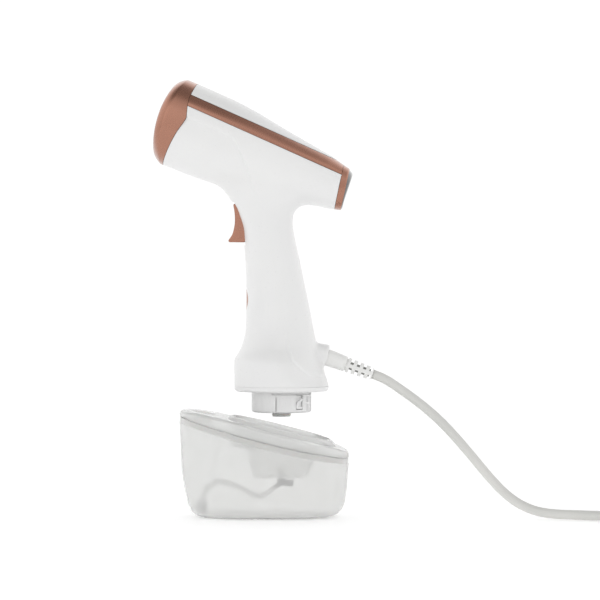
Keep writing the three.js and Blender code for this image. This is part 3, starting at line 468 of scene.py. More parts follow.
def bezel_prism(name, offset):
    """What is in front of the bezel's rear edge, which sweeps back to a point below the stripe."""
    corner = 11.0
    vs = list(np.linspace(60, STRIPE_LOW, 8)) + [corner] + list(np.linspace(9.5, -60, 40))
    edge = [(float(BEZEL_EDGE(v)) + offset, v) for v in vs]
    return prism(name, [(-FAR, 60)] + edge + [(-FAR, -60)], -FAR, FAR, HEAD)


# ---------- handset skin ----------

VOXEL = 0.8


def voxel_skin(piece, size):
    """Makes one even mesh of quads over a piece."""
    modifier = piece.modifiers.new("even", "REMESH")
    modifier.mode = "VOXEL"
    modifier.voxel_size = size * MM
    modifier.use_smooth_shade = True
    return settle(piece)


class Surface:
    """A mesh's points and edges as arrays, in millimetres, for smoothing and pushing."""

    def __init__(self, piece):
        self.mesh = piece.data
        count = len(self.mesh.vertices)
        flat = np.empty(count * 3)
        self.mesh.vertices.foreach_get("co", flat)
        self.points = flat.reshape(-1, 3) / MM
        ends = np.empty(len(self.mesh.edges) * 2, np.int64)
        self.mesh.edges.foreach_get("vertices", ends)
        ends = ends.reshape(-1, 2)
        self.here = np.concatenate([ends[:, 0], ends[:, 1]])
        self.there = np.concatenate([ends[:, 1], ends[:, 0]])
        self.degree = np.maximum(np.bincount(self.here, minlength=count), 1)

    def smooth(self, weight, rounds):
        """Moves each point towards its neighbours' mean."""
        weight = np.broadcast_to(weight, len(self.points))[:, None]
        for _ in range(rounds):
            mean = np.column_stack([
                np.bincount(self.here, self.points[self.there, k], len(self.points)) / self.degree
                for k in range(3)
            ])
            self.points += weight * (mean - self.points)

    def calm(self, rounds):
        """Takes out small ripples without shrinking."""
        for _ in range(rounds):
            self.smooth(0.5, 1)
            self.smooth(-0.52, 1)

    def normals(self):
        self.write()
        flat = np.empty(len(self.points) * 3)
        self.mesh.vertices.foreach_get("normal", flat)
        return flat.reshape(-1, 3)

    def write(self):
        self.mesh.vertices.foreach_set("co", (self.points * MM).ravel())
        self.mesh.update()


def distance_to(piece, points):
    """How far each point is from a mesh, in millimetres."""
    bm = bmesh.new()
    bm.from_mesh(piece.data)
    tree = BVHTree.FromBMesh(bm)
    bm.free()
    return np.array([tree.find_nearest(Vector(p))[3] for p in points * MM]) / MM


def line_offset(points, line):
    """Signed distance of 2-D points from a line, positive on its right, and how far along it they are."""
    line = np.asarray(line, float)
    lengths = np.linalg.norm(np.diff(line, axis=0), axis=1)
    start = np.concatenate([[0], np.cumsum(lengths)])
    best = np.full(len(points), np.inf)
    signed, along = np.zeros(len(points)), np.zeros(len(points))
    for a, b, length, before in zip(line, line[1:], lengths, start):
        way = (b - a) / length
        t = np.clip((points - a) @ way, 0, length)
        off = points - (a + t[:, None] * way)
        gap = np.linalg.norm(off, axis=1)
        side = np.sign(way[0] * off[:, 1] - way[1] * off[:, 0])
        near = gap < best
        best = np.where(near, gap, best)
        signed = np.where(near, -side * gap, signed)
        along = np.where(near, (before + t) / start[-1], along)
    return signed, along


# The side of the head has a soft step that runs back from the bezel and then down into the handle.
SIDE_STEP = [(10, 12.3), (32.1, 12.2), (42.9, 12.8), (53.1, 11.8), (58, 9.1), (64.6, 2.3), (70.4, -2.5),
             (77.5, -10.2),
             (84.6, -18.1), (90.4, -24.1), (96, -32)]
SIDE_STEP_DEPTH, SIDE_STEP_FADE = 1.15, 26.0
# The bulge round the cord's port stands a little proud of the skirt.
PORT_STEP = [(27.6, 142), (29, 132.2), (32.4, 123.2), (39.1, 116.6), (45.6, 112), (53.4, 110.9), (60, 112)]
PORT_STEP_DEPTH, PORT_STEP_FADE = 1.35, 13.0
# A shallow channel runs down each side of the grip.
CHANNEL = [(8, 232), (9, 226.6), (13.7, 200.9), (17.6, 176.7), (19.1, 143.1), (19.2, 132)]
CHANNEL_DEPTH, CHANNEL_HALF = 0.8, 8.0


def outer_body():
    """Head, handle and port as one skin with rounded joins and the side's soft steps."""
    head = head_skin("handset_outer")
    handle = handle_skin("handle_outer", bottom=BASE_Z - 6)
    port = turned("port_outer", [(0, 0), (PORT_R, 0), (PORT_R, 25.2), (PORT_R - 0.8, 26), (0, 26)],
                  PORT_FACE - 26 * PORT_AXIS, PORT_AXIS)
    body = combine(combine(duplicate(head, "handset_body"), handle, "UNION", keep=True), port, "UNION",
                   keep=True)
    voxel_skin(body, VOXEL)
    skin = Surface(body)
    skin.calm(5)
    to_head, to_handle, to_port = (distance_to(p, skin.points) for p in (head, handle, port))
    skin.smooth(0.5 * ease(1.25 - np.maximum(to_head, to_handle) / 17), 260)
    skin.smooth(0.5 * ease(1.25 - np.maximum(to_port, to_handle) / 5), 26)
    discard(handle, port)
    side = np.abs(skin.points[:, 1])
    local = apply(np.linalg.inv(HEAD), skin.points)
    push = np.zeros(len(skin.points))
    off, along = line_offset(local[:, [0, 2]], SIDE_STEP)
    step = ease(off / 1.0) * (1 - ease((off - 1.0) / SIDE_STEP_FADE))
    push -= SIDE_STEP_DEPTH * step * ease((1 - along) / 0.3) * ease((side - 6) / 6)
    world = skin.points[:, [0, 2]]
    off, along = line_offset(world, PORT_STEP)
    step = ease(off / 1.0) * (1 - ease((off - 1.0) / PORT_STEP_FADE))
    push -= PORT_STEP_DEPTH * step * ease(along / 0.25) * ease((1 - along) / 0.1) * ease((side - 4) / 6)
    off, along = line_offset(world, CHANNEL)
    channel = CHANNEL_DEPTH * np.exp(-(off / CHANNEL_HALF) ** 2)
    push -= channel * ease(along / 0.2) * ease((1 - along) / 0.2) * ease((side - 6) / 6)
    skin.points += push[:, None] * skin.normals()
    skin.smooth(0.3, 1)
    skin.write()
    return head, body


def hollow_cutters():
    along = (HEAD_FRONT + BEVEL_DEPTH, 4, 12, 28, 60, 96, 128)
    inner = [head_ring(u, inset=WALL, curve=1 if u < 0 else None) for u in along]
    inner.append(head_ring(RING_FRONT + WALL, inset=WALL, lean=1))
    head = loft("head_hollow", inner)
    handle = handle_skin("handle_hollow", inset=WALL, top=HANDLE_TOP - WALL, bottom=BASE_Z - 6)
    return head, handle


def button_prism(name, grow):
    """The upright oval of the power button, along X."""
    angle = np.linspace(0, 2 * math.pi, 48, endpoint=False)
    y, z = (BUTTON_WIDTH / 2 + grow) * np.cos(angle), (BUTTON_HEIGHT / 2 + grow) * np.sin(angle)
    rings = [np.column_stack([np.full(48, x), y, BUTTON_Z + z]) for x in (-12, 2)]
    return face_out(loft(name, rings))


SHELL_SCREWS = [(26.5, 212), (1.5, 146)]


def make_shells(body, hollows):
    """The two white halves of the head and handle."""
    shell = duplicate(body, "shell")
    cut(shell, *hollows, keep=True)
    for x, z in SHELL_SCREWS:
        post = common(bar("post", 3.4, 80, (x, -40, z), (0, 1, 0)), body, keep=True)
        combine(shell, post, "UNION")
    cut(
        shell,
        head_slice("above_stripe", -FAR, FAR, STRIPE_LOW - GAP / 2, FAR),
        bezel_prism("bezel_room", GAP / 2),
        ring_prism("ring_room", -GAP / 2),
        box("below", (-FAR, -FAR, -10), (FAR, FAR, BASE_Z + PLATE_THICK + GAP)),
        bar("bore", 4.9, 40, RELIEF_POINT - 30 * RELIEF_AXIS, RELIEF_AXIS),
        bar("counterbore", 6.9, 10, RELIEF_POINT - 1.6 * RELIEF_AXIS, RELIEF_AXIS),
        box("trigger_room", (-40, -TRIGGER_WIDTH / 2 - 0.5, 211.6), (2, TRIGGER_WIDTH / 2 + 0.5, 245.6)),
        button_prism("button_room", 0.3),
    )
    for x, z in SHELL_SCREWS:
        cut(shell, bar("screw_hole", 1.7, 60, (x, -12, z), (0, 1, 0)),
            bar("head_hole", 2.9, 40, (x, 11.7, z), (0, 1, 0)))
    left = common(duplicate(shell, "left_shell_skin"), box("left_half", (-FAR, -FAR, -FAR), (FAR, -0.1, FAR)))
    right = common(shell, box("right_half", (-FAR, 0.1, -FAR), (FAR, FAR, FAR)))
    right.name = "right_shell_skin"
    return sharpen(left), sharpen(right)


def make_bezel(head, hollows):
    bezel = common(duplicate(head, "front_bezel_skin"), bezel_prism("in_front", -GAP / 2))
    cut(bezel, hollows[0], hollows[1], keep=True)
    mouth = loft("mouth", [head_ring(HEAD_FRONT - 9, scale=MOUTH_SCALE, curve=1),
                           head_ring(HEAD_FRONT + BEVEL_DEPTH + 2, scale=MOUTH_SCALE, curve=1)])
    return sharpen(cut(bezel, mouth))


RIDGE_V, RIDGE_HEIGHT = 22.2, 0.8


def ridged(trim):
    """Cuts a trim into fine strips and raises a soft ridge along its middle."""
    bm = bmesh.new()
    bm.from_mesh(trim.data)
    up = Vector((math.sin(HEAD_TILT), 0, math.cos(HEAD_TILT)))
    for v in np.linspace(STRIPE_LOW + 0.6, STRIPE_HIGH - 0.6, 12):
        everything = bm.verts[:] + bm.edges[:] + bm.faces[:]
        bmesh.ops.bisect_plane(bm, geom=everything, plane_co=(HEAD_ORIGIN + float(v) * up) * MM, plane_no=up)
    bm.to_mesh(trim.data)
    bm.free()
    skin = Surface(trim)
    v = apply(np.linalg.inv(HEAD), skin.points)[:, 2]
    below, over = (v - STRIPE_LOW) / (RIDGE_V - STRIPE_LOW), (STRIPE_HIGH - v) / (STRIPE_HIGH - RIDGE_V)
    share = np.where(v < RIDGE_V, below, over)
    raised = RIDGE_HEIGHT * ease(0.5 + share / 2) * 2 - RIDGE_HEIGHT
    skin.points[:, 1] += raised * np.sign(skin.points[:, 1])
    skin.write()
    return trim


def make_bands(head, hollows):
    """The top cover and the two side trims."""
    bands = cut(duplicate(head, "bands"), bezel_prism("bezel_room", GAP / 2),
                ring_prism("ring_room", -GAP / 2))
    cut(bands, hollows[0], keep=True)
    cover = common(duplicate(bands, "top_cover_skin"),
                   head_slice("top", -FAR, FAR, STRIPE_HIGH + GAP / 2, FAR))
    trims = []
    for name, y0, y1 in (("left_trim_skin", -FAR, -0.1), ("right_trim_skin", 0.1, FAR)):
        side = head_slice("side", -FAR, FAR, STRIPE_LOW + GAP / 2, STRIPE_HIGH - GAP / 2, y0, y1)
        trims.append(sharpen(ridged(common(duplicate(bands, name), side))))
    discard(bands)
    return [sharpen(cover)] + trims


def lens_hole(name, grow):
    scale = LENS_SCALE + grow
    return loft(name, [head_ring(RING_REAR - 14, scale=scale, lean=1),
                       head_ring(HEAD_REAR + 6, scale=scale, lean=1)])


def make_rear(head):
    ring = common(duplicate(head, "rear_ring_skin"), ring_prism("rear", GAP / 2))
    lens = common(duplicate(ring, "rear_lens_skin"), lens_hole("lens_room", 0.0))
    common(lens, ring_prism("lens_depth", RING_REAR - RING_FRONT - WALL))
    return sharpen(cut(ring, lens_hole("ring_room", 0.012))), sharpen(lens)


def make_steam_plate():
    """The curved steel plate, with two rings of steam holes."""
    scale = MOUTH_SCALE - 0.012
    rows = [(0.0, scale - 0.02), (0.25, scale - 0.008), (0.8, scale), (3.0, scale)]
    plate = loft("steam_plate_skin", [head_ring(HEAD_FRONT + 1 + u, scale=s, curve=1) for u, s in rows])
    for count, across, up in ((9, 19, 21), (5, 9, 11)):
        for i in range(count):
            angle = 2 * math.pi * (i + 0.5) / count
            point = apply(HEAD, [(-20, across * math.cos(angle), 4 + up * math.sin(angle))])[0]
            cut(plate, bar("steam_hole", 1.5, 60, point, ALONG_HEAD, 24))
    return sharpen(plate, 45)


# ---------- trigger, power button and strain relief ----------

TRIGGER_OUTLINE = [
    (-15.7, 243.6), (-14.6, 237), (-14.3, 231), (-14.8, 226), (-16.2, 220.4), (-18.2, 217.2), (-19.4, 215.4),
    (-19.1, 213.9),
]
TRIGGER_PIVOT = (-5.4, 240.5)


def rounded(piece, width, segments=3, degrees=40):
    """Rounds a piece's sharp edges."""
    modifier = piece.modifiers.new("round", "BEVEL")
    modifier.width = width * MM
    modifier.segments = segments
    modifier.limit_method = "ANGLE"
    modifier.angle_limit = math.radians(degrees)
    modifier.harden_normals = False
    return settle(piece)


def make_trigger():
    front = [tuple(p) for p in spline([(x, z, 0) for x, z in TRIGGER_OUTLINE], 1.2)[0][:, :2]]
    back = [(-7.6, 213.8), (-1.6, 216), (-2.2, 232), (-2, 243), (-5.4, 244.6), (-10, 244.6)]
    half = TRIGGER_WIDTH / 2
    trigger = rounded(prism("trigger_finger", front + back, -half, half), 1.5, 4)
    cut(trigger, bar("pivot_hole", 1.8, 60, (TRIGGER_PIVOT[0], -30, TRIGGER_PIVOT[1]), (0, 1, 0)))
    return sharpen(trigger, 50)


def make_power_button(body):
    cap = common(duplicate(body, "power_button_cap"), button_prism("oval", 0), keep=False)
    cut(cap, box("behind_cap", (-2.6, -FAR, -FAR), (FAR, FAR, FAR)))
    rounded(cap, 0.35, 3, 50)
    stem = bar("stem", 2, 3.4, (-3, 0, BUTTON_Z), (1, 0, 0))
    return sharpen(combine(cap, stem, "UNION"), 50)


RELIEF_RINGS = 4


def make_strain_relief():
    """A plain cuff, then rings joined by webs that leave slots above and below."""
    inside = 21.0
    cuff_end = inside + RELIEF_CUFF
    profile = [
        (0, 0), (7, 0), (7, 2.6), (4.6, 2.6), (4.6, inside - 1.2), (6.2, inside - 1.2), (6.5, inside - 0.9),
        (6.5, inside + 2), (6.35, inside + 6), (6.1, inside + 11), (5.95, cuff_end - 0.8),
        (5.6, cuff_end - 0.2),
        (5.1, cuff_end), (4.7, cuff_end), (4.7, cuff_end + 1.2), (5.6, cuff_end + 1.2),
        (5.75, cuff_end + 1.6),
    ]
    end = inside + RELIEF_LENGTH
    profile += [(5.05, end - 1.2), (4.75, end - 0.3), (4.4, end), (0, end)]
    relief = turned("strain_relief_sleeve", profile, RELIEF_POINT - inside * RELIEF_AXIS, RELIEF_AXIS,
                    sides=48)
    tilt = np.array(Matrix.Translation(RELIEF_POINT) @ Matrix.Rotation(RELIEF_FALL, 4, "Y"))
    pitch = (RELIEF_LENGTH - RELIEF_CUFF - 1.2) / RELIEF_RINGS
    for i in range(RELIEF_RINGS):
        start = RELIEF_CUFF + 1.2 + i * pitch + 0.42 * pitch
        for sign in (-1, 1):
            low, high = sorted((sign * 1.5, sign * 9))
            slot = box("slot", (start, -9, low), (start + 0.46 * pitch, 9, high), tilt)
            cut(relief, slot)
    core = bar("core", 3.1, inside + RELIEF_LENGTH - 3, RELIEF_POINT - (inside - 1) * RELIEF_AXIS,
               RELIEF_AXIS)
    combine(relief, core, "UNION")
    return sharpen(relief, 40)


# ---------- base, connector and nozzle ----------

HOOK_TURN = math.radians(-49)
BASE_SCREWS = [(-7.2, 0), (50.8, 0), (DOCK_X, 27.6), (DOCK_X, -27.6)]
UP = (0, 0, 1)
HOOK_PLACE = np.array(Matrix.Translation((DOCK_X, 0, 0)) @ Matrix.Rotation(HOOK_TURN, 4, "Z"))


def make_base_plate():
    levels = [(BASE_Z, 0.9), (BASE_Z + 0.25, 0.4), (BASE_Z + 0.8, 0.05), (BASE_Z + 1.6, 0),
              (BASE_Z + PLATE_THICK + 0.2, 0)]
    plate = loft("base_plate_skin", [handle_ring(z, inset) for z, inset in levels])
    cut(plate, bar("opening", 20, 20, (DOCK_X, 0, 90), UP, 96))
    for x, y in BASE_SCREWS:
        cut(plate, bar("screw_hole", 1.7, 20, (x, y, 90), UP),
            bar("sink", 2.9, 2.2, (x, y, BASE_Z - 0.5), UP))
    return sharpen(plate, 40)


def make_connector():
    """A round socket plug with a recessed panel, a hook's window and two slots beside it."""
    top, bottom, r = BASE_Z - GAP, CONNECTOR_BOTTOM, CONNECTOR_R
    arc = [(r - 2 + 2 * math.sin(a), bottom + 2 - 2 * math.cos(a)) for a in np.linspace(0, math.pi / 2, 6)]
    profile = [(NOZZLE_R - 2.6, bottom)] + arc + [(r, top), (r - 3.3, top), (r - 3.3, 87),
                                                  (NOZZLE_R - 2.6, 87)]
    profile.append(profile[0])
    connector = turned("connector_skin", profile, (DOCK_X, 0, 0), UP, sides=144)
    band = turned("band", [(r - 1.1, 79), (r + 4, 79), (r + 4, 93.9), (r - 1.1, 93.9), (r - 1.1, 79)],
                  (DOCK_X, 0, 0), UP, 144)
    cut(connector, common(band, box("panel", (18.1, -30, 82.2), (60, 0, 96))))
    shelf = turned("shelf", [(r - 1.6, 95.4), (r + 4, 95.4), (r + 4, 97), (r - 1.6, 97), (r - 1.6, 95.4)],
                   (DOCK_X, 0, 0), UP, 144)
    cut(connector, common(shelf, box("shelf_side", (15, -30, 90), (60, 0, 99))))
    cut(
        connector,
        box("hook_window", (18, -3.4, 84), (30, 3.4, 95.2), HOOK_PLACE),
        box("upper_slot", (41.5, -15, 89.9), (43.4, -6, 94.2)),
        box("lower_slot", (41.5, -15, 82.4), (43.4, -6, 87.9)),
        common(turned("groove", [(r - 2.2, 79), (r + 4, 79), (r + 4, 93.9), (r - 2.2, 93.9), (r - 2.2, 79)],
                      (DOCK_X, 0, 0), UP, 144), box("groove_side", (17.9, -30, 78), (18.9, 0, 95))),
    )
    return sharpen(connector, 35)


def make_latch_hook():
    """The hook: a bent arm whose nose points up and outwards."""
    middle = spline([(-2.2, 84.9, 0), (-2.3, 87.2, 0), (-1.6, 89.2, 0), (0.4, 90.6, 0), (2.3, 92.2, 0)],
                    0.4)[0][:, :2]
    ahead = np.gradient(middle, axis=0)
    ahead /= np.linalg.norm(ahead, axis=1)[:, None]
    side = np.column_stack([-ahead[:, 1], ahead[:, 0]])
    outline = np.vstack([middle + 0.85 * side, (middle - 0.85 * side)[::-1]])
    arm = prism("latch_hook_skin", [(x, z) for x, z in outline], -22.9, -20.3)
    flat = np.array(Matrix.Translation((DOCK_X, 0, 0)) @ Matrix.Rotation(HOOK_TURN + math.pi / 2, 4, "Z"))
    arm.data.transform(Matrix.Scale(1 / MM, 4))
    arm.data.transform(Matrix(flat.tolist()))
    arm.data.transform(Matrix.Scale(MM, 4))
    root = box("root", (20.3, -3.1, 84.5), (21.7, 3.1, 86.4), HOOK_PLACE)
    spine = box("spine", (20.3, -2.8, 84.5), (20.9, 2.8, 94.8), HOOK_PLACE)
    combine(combine(arm, root, "UNION"), spine, "UNION")
    return sharpen(rounded(arm, 0.2, 2, 50), 40)


def make_nozzle():
    r, top = NOZZLE_R, CONNECTOR_BOTTOM - GAP
    profile = [
        (2.2, NOZZLE_BOTTOM), (r - 0.5, NOZZLE_BOTTOM), (r, NOZZLE_BOTTOM + 0.4), (r, 78.9),
        (r - 1, 78.9), (r - 1, 80.5),
        (r, 80.5), (r, top), (r - 2.9, top), (r - 2.9, 104), (3, 104), (3, 108.2), (2.2, 108.2),
        (2.2, NOZZLE_BOTTOM),
    ]
    return sharpen(turned("inlet_nozzle_skin", profile, (DOCK_X, 0, 0), UP, sides=64), 35)


# ---------- tank ----------

tank_left = trace([(0, -40), (1.2, -44), (3.4, -47.4), (8, -50), (13, -51.7), (23, -53.9), (36, -55.8),
                   (60, -57.3),
                   (85, -58)])
tank_right = trace([(0, 58), (1.2, 63.4), (3.4, 67), (8, 70.2), (13, 71.6), (23, 73), (36, 73.9),
                    (60, 74.4), (85, 74.5)])
tank_half = trace([(0, 31), (1.2, 35), (3.4, 38), (8, 40.2), (13, 41.3), (23, 42.4), (36, 43.2),
                   (60, 43.9), (85, 44.2)])
lid_z = trace([(-60, 84.2), (-46, 82.6), (-23, 78), (20, 66.6), (62, 55.6), (76, 50.4)])
TANK_WALL, LID_WALL = 2.2, 2.0
RECESS_FLOOR, FLOOR_THICK = 57.4, 2.2
RIM_OUTER, RIM_INNER = 39.4, 37.9
FLANK, FLANK_SIDE = 5.0, 2.0
CUP_R, CUP_WALL, CUP_LEDGE, CUP_BOTTOM = 25.3, 1.5, 41.0, 30.8
FILLER_X, FILLER_LEAN = -38.5, math.radians(10.5)
FILLER_R, FILLER_BORE, FILLER_CAP = 6.5, 5.2, 8.6
FILLER_TOP = np.array((FILLER_X, 0, float(lid_z(FILLER_X)) - 0.4))
FILLER_AXIS = np.array((math.sin(FILLER_LEAN), 0, math.cos(FILLER_LEAN)))
TANK_SIDES = 160


def seam_z(x):
    return 62.1 - 0.2622 * x + 0.00061 * x * x


def rim_z(x):
    return 74.9 - 0.25 * x


def above(surface, height):
    return lambda x: surface(x) + height


def tank_ring(level, inset=0.0, outline_at=70.0):
    """A ring of the tank's outline at a height, or on a sloping surface given as a function of x.
    The inset may be a number, or a function that runs from -1 at the nozzle's side to 1 at the cord's."""
    z = outline_at if callable(level) else level
    c, s = superellipse(TANK_SIDES, 2.7)
    inset = inset(c) if callable(inset) else inset
    x = (tank_left(z) + tank_right(z)) / 2 + ((tank_right(z) - tank_left(z)) / 2 - inset) * c
    return np.column_stack([x, (tank_half(z) - inset) * s,
                            level(x) if callable(level) else np.full(TANK_SIDES, z)])


def between(low, high, shares):
    return [low + (high - low) * t for t in shares]


def make_tank_body():
    levels = [0, 0.25, 0.6, 1.2, 2.2, 3.4, 5, 6.5, 8, 10, 13, 17, 23, 30, 36]
    edge = above(seam_z, -GAP / 2)
    band = tank_ring(above(seam_z, -4.9))
    outer = [tank_ring(z) for z in levels] + between(tank_ring(36.0), band, (0.25, 0.5, 0.75))
    outer += [band, tank_ring(above(seam_z, -4.6), 0.35), tank_ring(above(seam_z, -1.0), 0.35)]
    outer += [tank_ring(above(seam_z, -0.4), 0.5), tank_ring(edge, 0.9)]
    inside = [tank_ring(z + TANK_WALL - 1.2, TANK_WALL) for z in levels[3:]]
    inside += [tank_ring(above(seam_z, 2), TANK_WALL)]
    return sharpen(cut(loft("tank_body_shell", outer), loft("tank_inside", inside)), 40)


def dock_oval(name, levels):
    """A prism round the dock with the skirt's own section, through levels of (growth, height)."""
    c, s = superellipse(128, 2.2)
    rings = []
    for grow, z in levels:
        grow_x, grow_y = grow if isinstance(grow, tuple) else (grow, grow)
        x, y = DOCK_X + (RIM_INNER + grow_x) * c, (RIM_INNER - 1.2 + grow_y) * s
        rings.append(np.column_stack([x, y, z(x) if callable(z) else np.full(128, float(z))]))
    return loft(name, rings)


def make_tank_lid():
    quarter = np.linspace(0, math.pi / 2, 7)
    edge = [tank_ring(above(lid_z, -2.9 * (1 - math.sin(a))),
                      lambda c, a=a: (3.4 - 1.8 * c) * (1 - math.cos(a)))
            for a in quarter]
    flat = [tank_ring(lid_z, inset) for inset in (6, 9, 12, 16, 20, 25, 30, 35, 40)]
    foot = [tank_ring(above(seam_z, GAP / 2), 0.7), tank_ring(above(seam_z, 0.4), 0.2),
            tank_ring(above(seam_z, 0.9))]
    shell = loft("tank_lid_shell", foot + edge + flat)
    ceiling = above(lid_z, -LID_WALL)
    inner = [tank_ring(above(seam_z, -9), LID_WALL), tank_ring(above(lid_z, -LID_WALL - 2), LID_WALL),
             tank_ring(above(lid_z, -LID_WALL - 0.6), LID_WALL + 0.9), tank_ring(ceiling, LID_WALL + 3)]
    inner += [tank_ring(ceiling, inset) for inset in (8, 12, 16, 20, 25, 30, 35, 39)]
    cut(shell, loft("lid_inside", inner))

    def band(name, low, high, outside, inside):
        ring = loft(name, [tank_ring(above(seam_z, low), outside), tank_ring(above(seam_z, high), outside)])
        return cut(ring, loft("band_inside", [tank_ring(above(seam_z, low - 4), inside),
                                              tank_ring(above(seam_z, high + 2), inside)]))

    combine(shell, band("lip", -5, 1.4, 4, 5.4), "UNION")
    combine(shell, band("shoulder", GAP / 2, 1.6, 1, 5.4), "UNION")
    grow = RIM_OUTER - RIM_INNER
    rim = dock_oval("rim", [(grow, RECESS_FLOOR - FLOOR_THICK), (grow, above(rim_z, -0.7)),
                            (grow - 0.25, above(rim_z, -0.2)),
                            (grow - 0.7, rim_z)])
    combine(shell, rim, "UNION")
    flank = dock_oval("flank", [((grow + FLANK, grow + FLANK_SIDE), above(rim_z, -FLANK)),
                                ((grow + 0.2, grow + 0.1), above(rim_z, -0.2)), (grow - 0.7, rim_z)])
    combine(shell, flank, "UNION")
    cut(
        shell,
        dock_oval("recess", [(0, RECESS_FLOOR), (0, 120)]),
        bar("dock_hole", CONNECTOR_R + 0.6, 30, (DOCK_X, 0, 40), UP, 96),
        bar("filler_hole", FILLER_R + GAP, 20, FILLER_TOP - 12 * FILLER_AXIS, FILLER_AXIS),
        bar("filler_seat", FILLER_CAP + GAP, 10, FILLER_TOP - FILLER_AXIS, FILLER_AXIS),
    )
    return sharpen(shell, 40)


def make_filler_plug():
    r, cap = FILLER_R, FILLER_CAP
    profile = [(0, 0.1), (FILLER_BORE, 0.1), (FILLER_BORE, -6), (r - 0.6, -6), (r, -5.2), (r, -0.7),
               (cap, -0.7),
               (cap, 0.15), (cap - 0.2, 0.4), (cap - 0.8, 0.55), (3, 1.0), (0, 1.05)]
    return sharpen(turned("filler_plug_skin", profile, FILLER_TOP, FILLER_AXIS), 50)


def make_socket_cup():
    outer, inner, top = CUP_R, CUP_R - CUP_WALL, RECESS_FLOOR - FLOOR_THICK - 1.5
    profile = [
        (1.9, CUP_BOTTOM), (22.0, CUP_BOTTOM), (22.4, CUP_BOTTOM + 0.4), (22.4, CUP_LEDGE - 1.6),
        (outer, CUP_LEDGE - 1.6),
        (outer, top - 1.6), (28.6, top - 1.6), (28.6, top), (inner, top), (inner, CUP_LEDGE),
        (20.8, CUP_LEDGE),
        (20.8, CUP_BOTTOM + 1.6), (1.9, CUP_BOTTOM + 1.6), (1.9, CUP_BOTTOM),
    ]
    return sharpen(turned("socket_cup_skin", profile, (DOCK_X, 0, 0), UP, sides=96))


PICKUP = [
    (15.9, -0.2, 22.6), (13.2, -0.6, 20.2), (6.6, -1.4, 16.2), (-0.4, -2, 16.8), (-8.2, -2, 21.4),
    (-19.9, -1.6, 26.2),
    (-30, -1, 26.4), (-37.2, -0.4, 20.8), (-39.9, 0, 14.6),
]


def make_pickup_hose():
    return tube("pickup_hose_skin", spline(PICKUP, 0.9)[0], 2.1, sides=20)


def make_filter_weight():
    profile = [(0, 0), (4, 0), (4.3, 0.3), (4.6, 1), (4.6, 7.6), (4.4, 8), (2.8, 9.6), (0, 9.6)]
    weight = turned("filter_weight_skin", profile, (-40.6, 0, 3.4), UP, sides=48)
    for k in range(10):
        angle = 2 * math.pi * k / 10
        x, y = -40.6 + 4.7 * math.cos(angle), 4.7 * math.sin(angle)
        cut(weight, bar("slit", 0.5, 4.6, (x, y, 5.4), UP, 12))
    return sharpen(weight)


# ---------- coil tie and plug ----------

COIL_INNER, COIL_OUTER, COIL_BOTTOM, COIL_TOP = 31.3, 46.7, 1.6, 23.6
PLUG_R, PLUG_LENGTH = 18.2, 44.0


def make_coil_tie():
    """A strap round the coil with rounded edges; its ribs and button are not modelled."""
    half_x, half_z = (COIL_OUTER - COIL_INNER) / 2 + 0.9, (COIL_TOP - COIL_BOTTOM) / 2 + 0.6
    centre = Vector(((COIL_OUTER + COIL_INNER) / 2, 0, (COIL_TOP + COIL_BOTTOM) / 2))
    c, s = superellipse(72, 5)
    turn = Matrix.Translation((COIL_X, 0, 0)) @ Matrix.Rotation(math.radians(125), 4, "Z")
    rings = []
    for width, grow in ((-3.4, 0), (-4, 0.3), (-4, 0.8), (-3.4, 1.1), (3.4, 1.1), (4, 0.8), (4, 0.3),
                        (3.4, 0)):
        x, z = centre.x + (half_x + grow) * c, centre.z + (half_z + grow) * s
        rings.append(np.column_stack([x, np.full(72, width), z]))
    rows = np.array(rings)
    faces = grid_faces(len(rings), 72)
    last = (len(rings) - 1) * 72
    faces += [(last + i, last + (i + 1) % 72, (i + 1) % 72, i) for i in range(72)]
    strap = face_out(make("coil_tie_strap", apply(turn, rows.reshape(-1, 3)), faces))
    return sharpen(strap, 40)


def make_plug():
    foot = np.array((COIL_X + PLUG_LEAD, CORD_R - COIL_OUTER, PLUG_R + 0.4))
    r, length = PLUG_R, PLUG_LENGTH
    profile = [(0, 0), (4.1, 0), (4.4, 0.3), (4.7, 5), (5.1, 11), (5.6, 17), (7, 19.2), (9.4, 20.6),
               (12.4, 22),
               (14.8, 23.6), (16.6, 26.4), (17.6, 29.6), (r, 33), (r, length - 1),
               (r - 0.3, length - 0.3), (r - 1, length),
               (0, length)]
    plug = turned("plug_body_skin", profile, foot, (1, 0, 0), sides=80)
    for k in range(3):
        start = 4 + 4.2 * k
        for sign in (-1, 1):
            low, high = sorted((sign * 1.6, sign * 9))
            cut(plug, box("relief_slot", (foot[0] + start, foot[1] - 9, foot[2] + low),
                          (foot[0] + start + 1.8, foot[1] + 9, foot[2] + high)))
    combine(plug, bar("plug_core", 3.9, 18, foot + (0.4, 0, 0), (1, 0, 0), 32), "UNION")
    for sign in (-1, 1):
        for k in range(4):
            x = foot[0] + 29 + 3.2 * k
            cut(plug, bar("grip_groove", 0.7, 22, (x, foot[1] - 11, foot[2] + sign * (r + 0.15)),
                          (0, 1, 0), 16))
    pins = []
    for i, y in enumerate((-9.5, 9.5)):
        root = foot + np.array((length + GAP, y, 0))
        pin = turned(f"plug_pin_{i + 1}_skin", [(0, 0), (2.4, 0), (2.4, 16.4), (2.2, 17.6), (1.6, 18.6),
                                                (0.8, 19), (0, 19)],
                     root, (1, 0, 0), sides=32)
        pins.append(sharpen(pin, 60))
    return [sharpen(plug, 40)] + pins


# ---------- light and floor ----------


def node_material(name, build):
    """A material whose nodes are made by build(tree, shader)."""
    material = bpy.data.materials.new(name)
    material.use_nodes = True
    tree = material.node_tree
    shader = next(n for n in tree.nodes if n.type == "BSDF_PRINCIPLED")
    build(tree, shader)
    return material


def set_sockets(shader, **values):
    for name, value in values.items():
        shader.inputs[name.replace("_", " ")].default_value = value


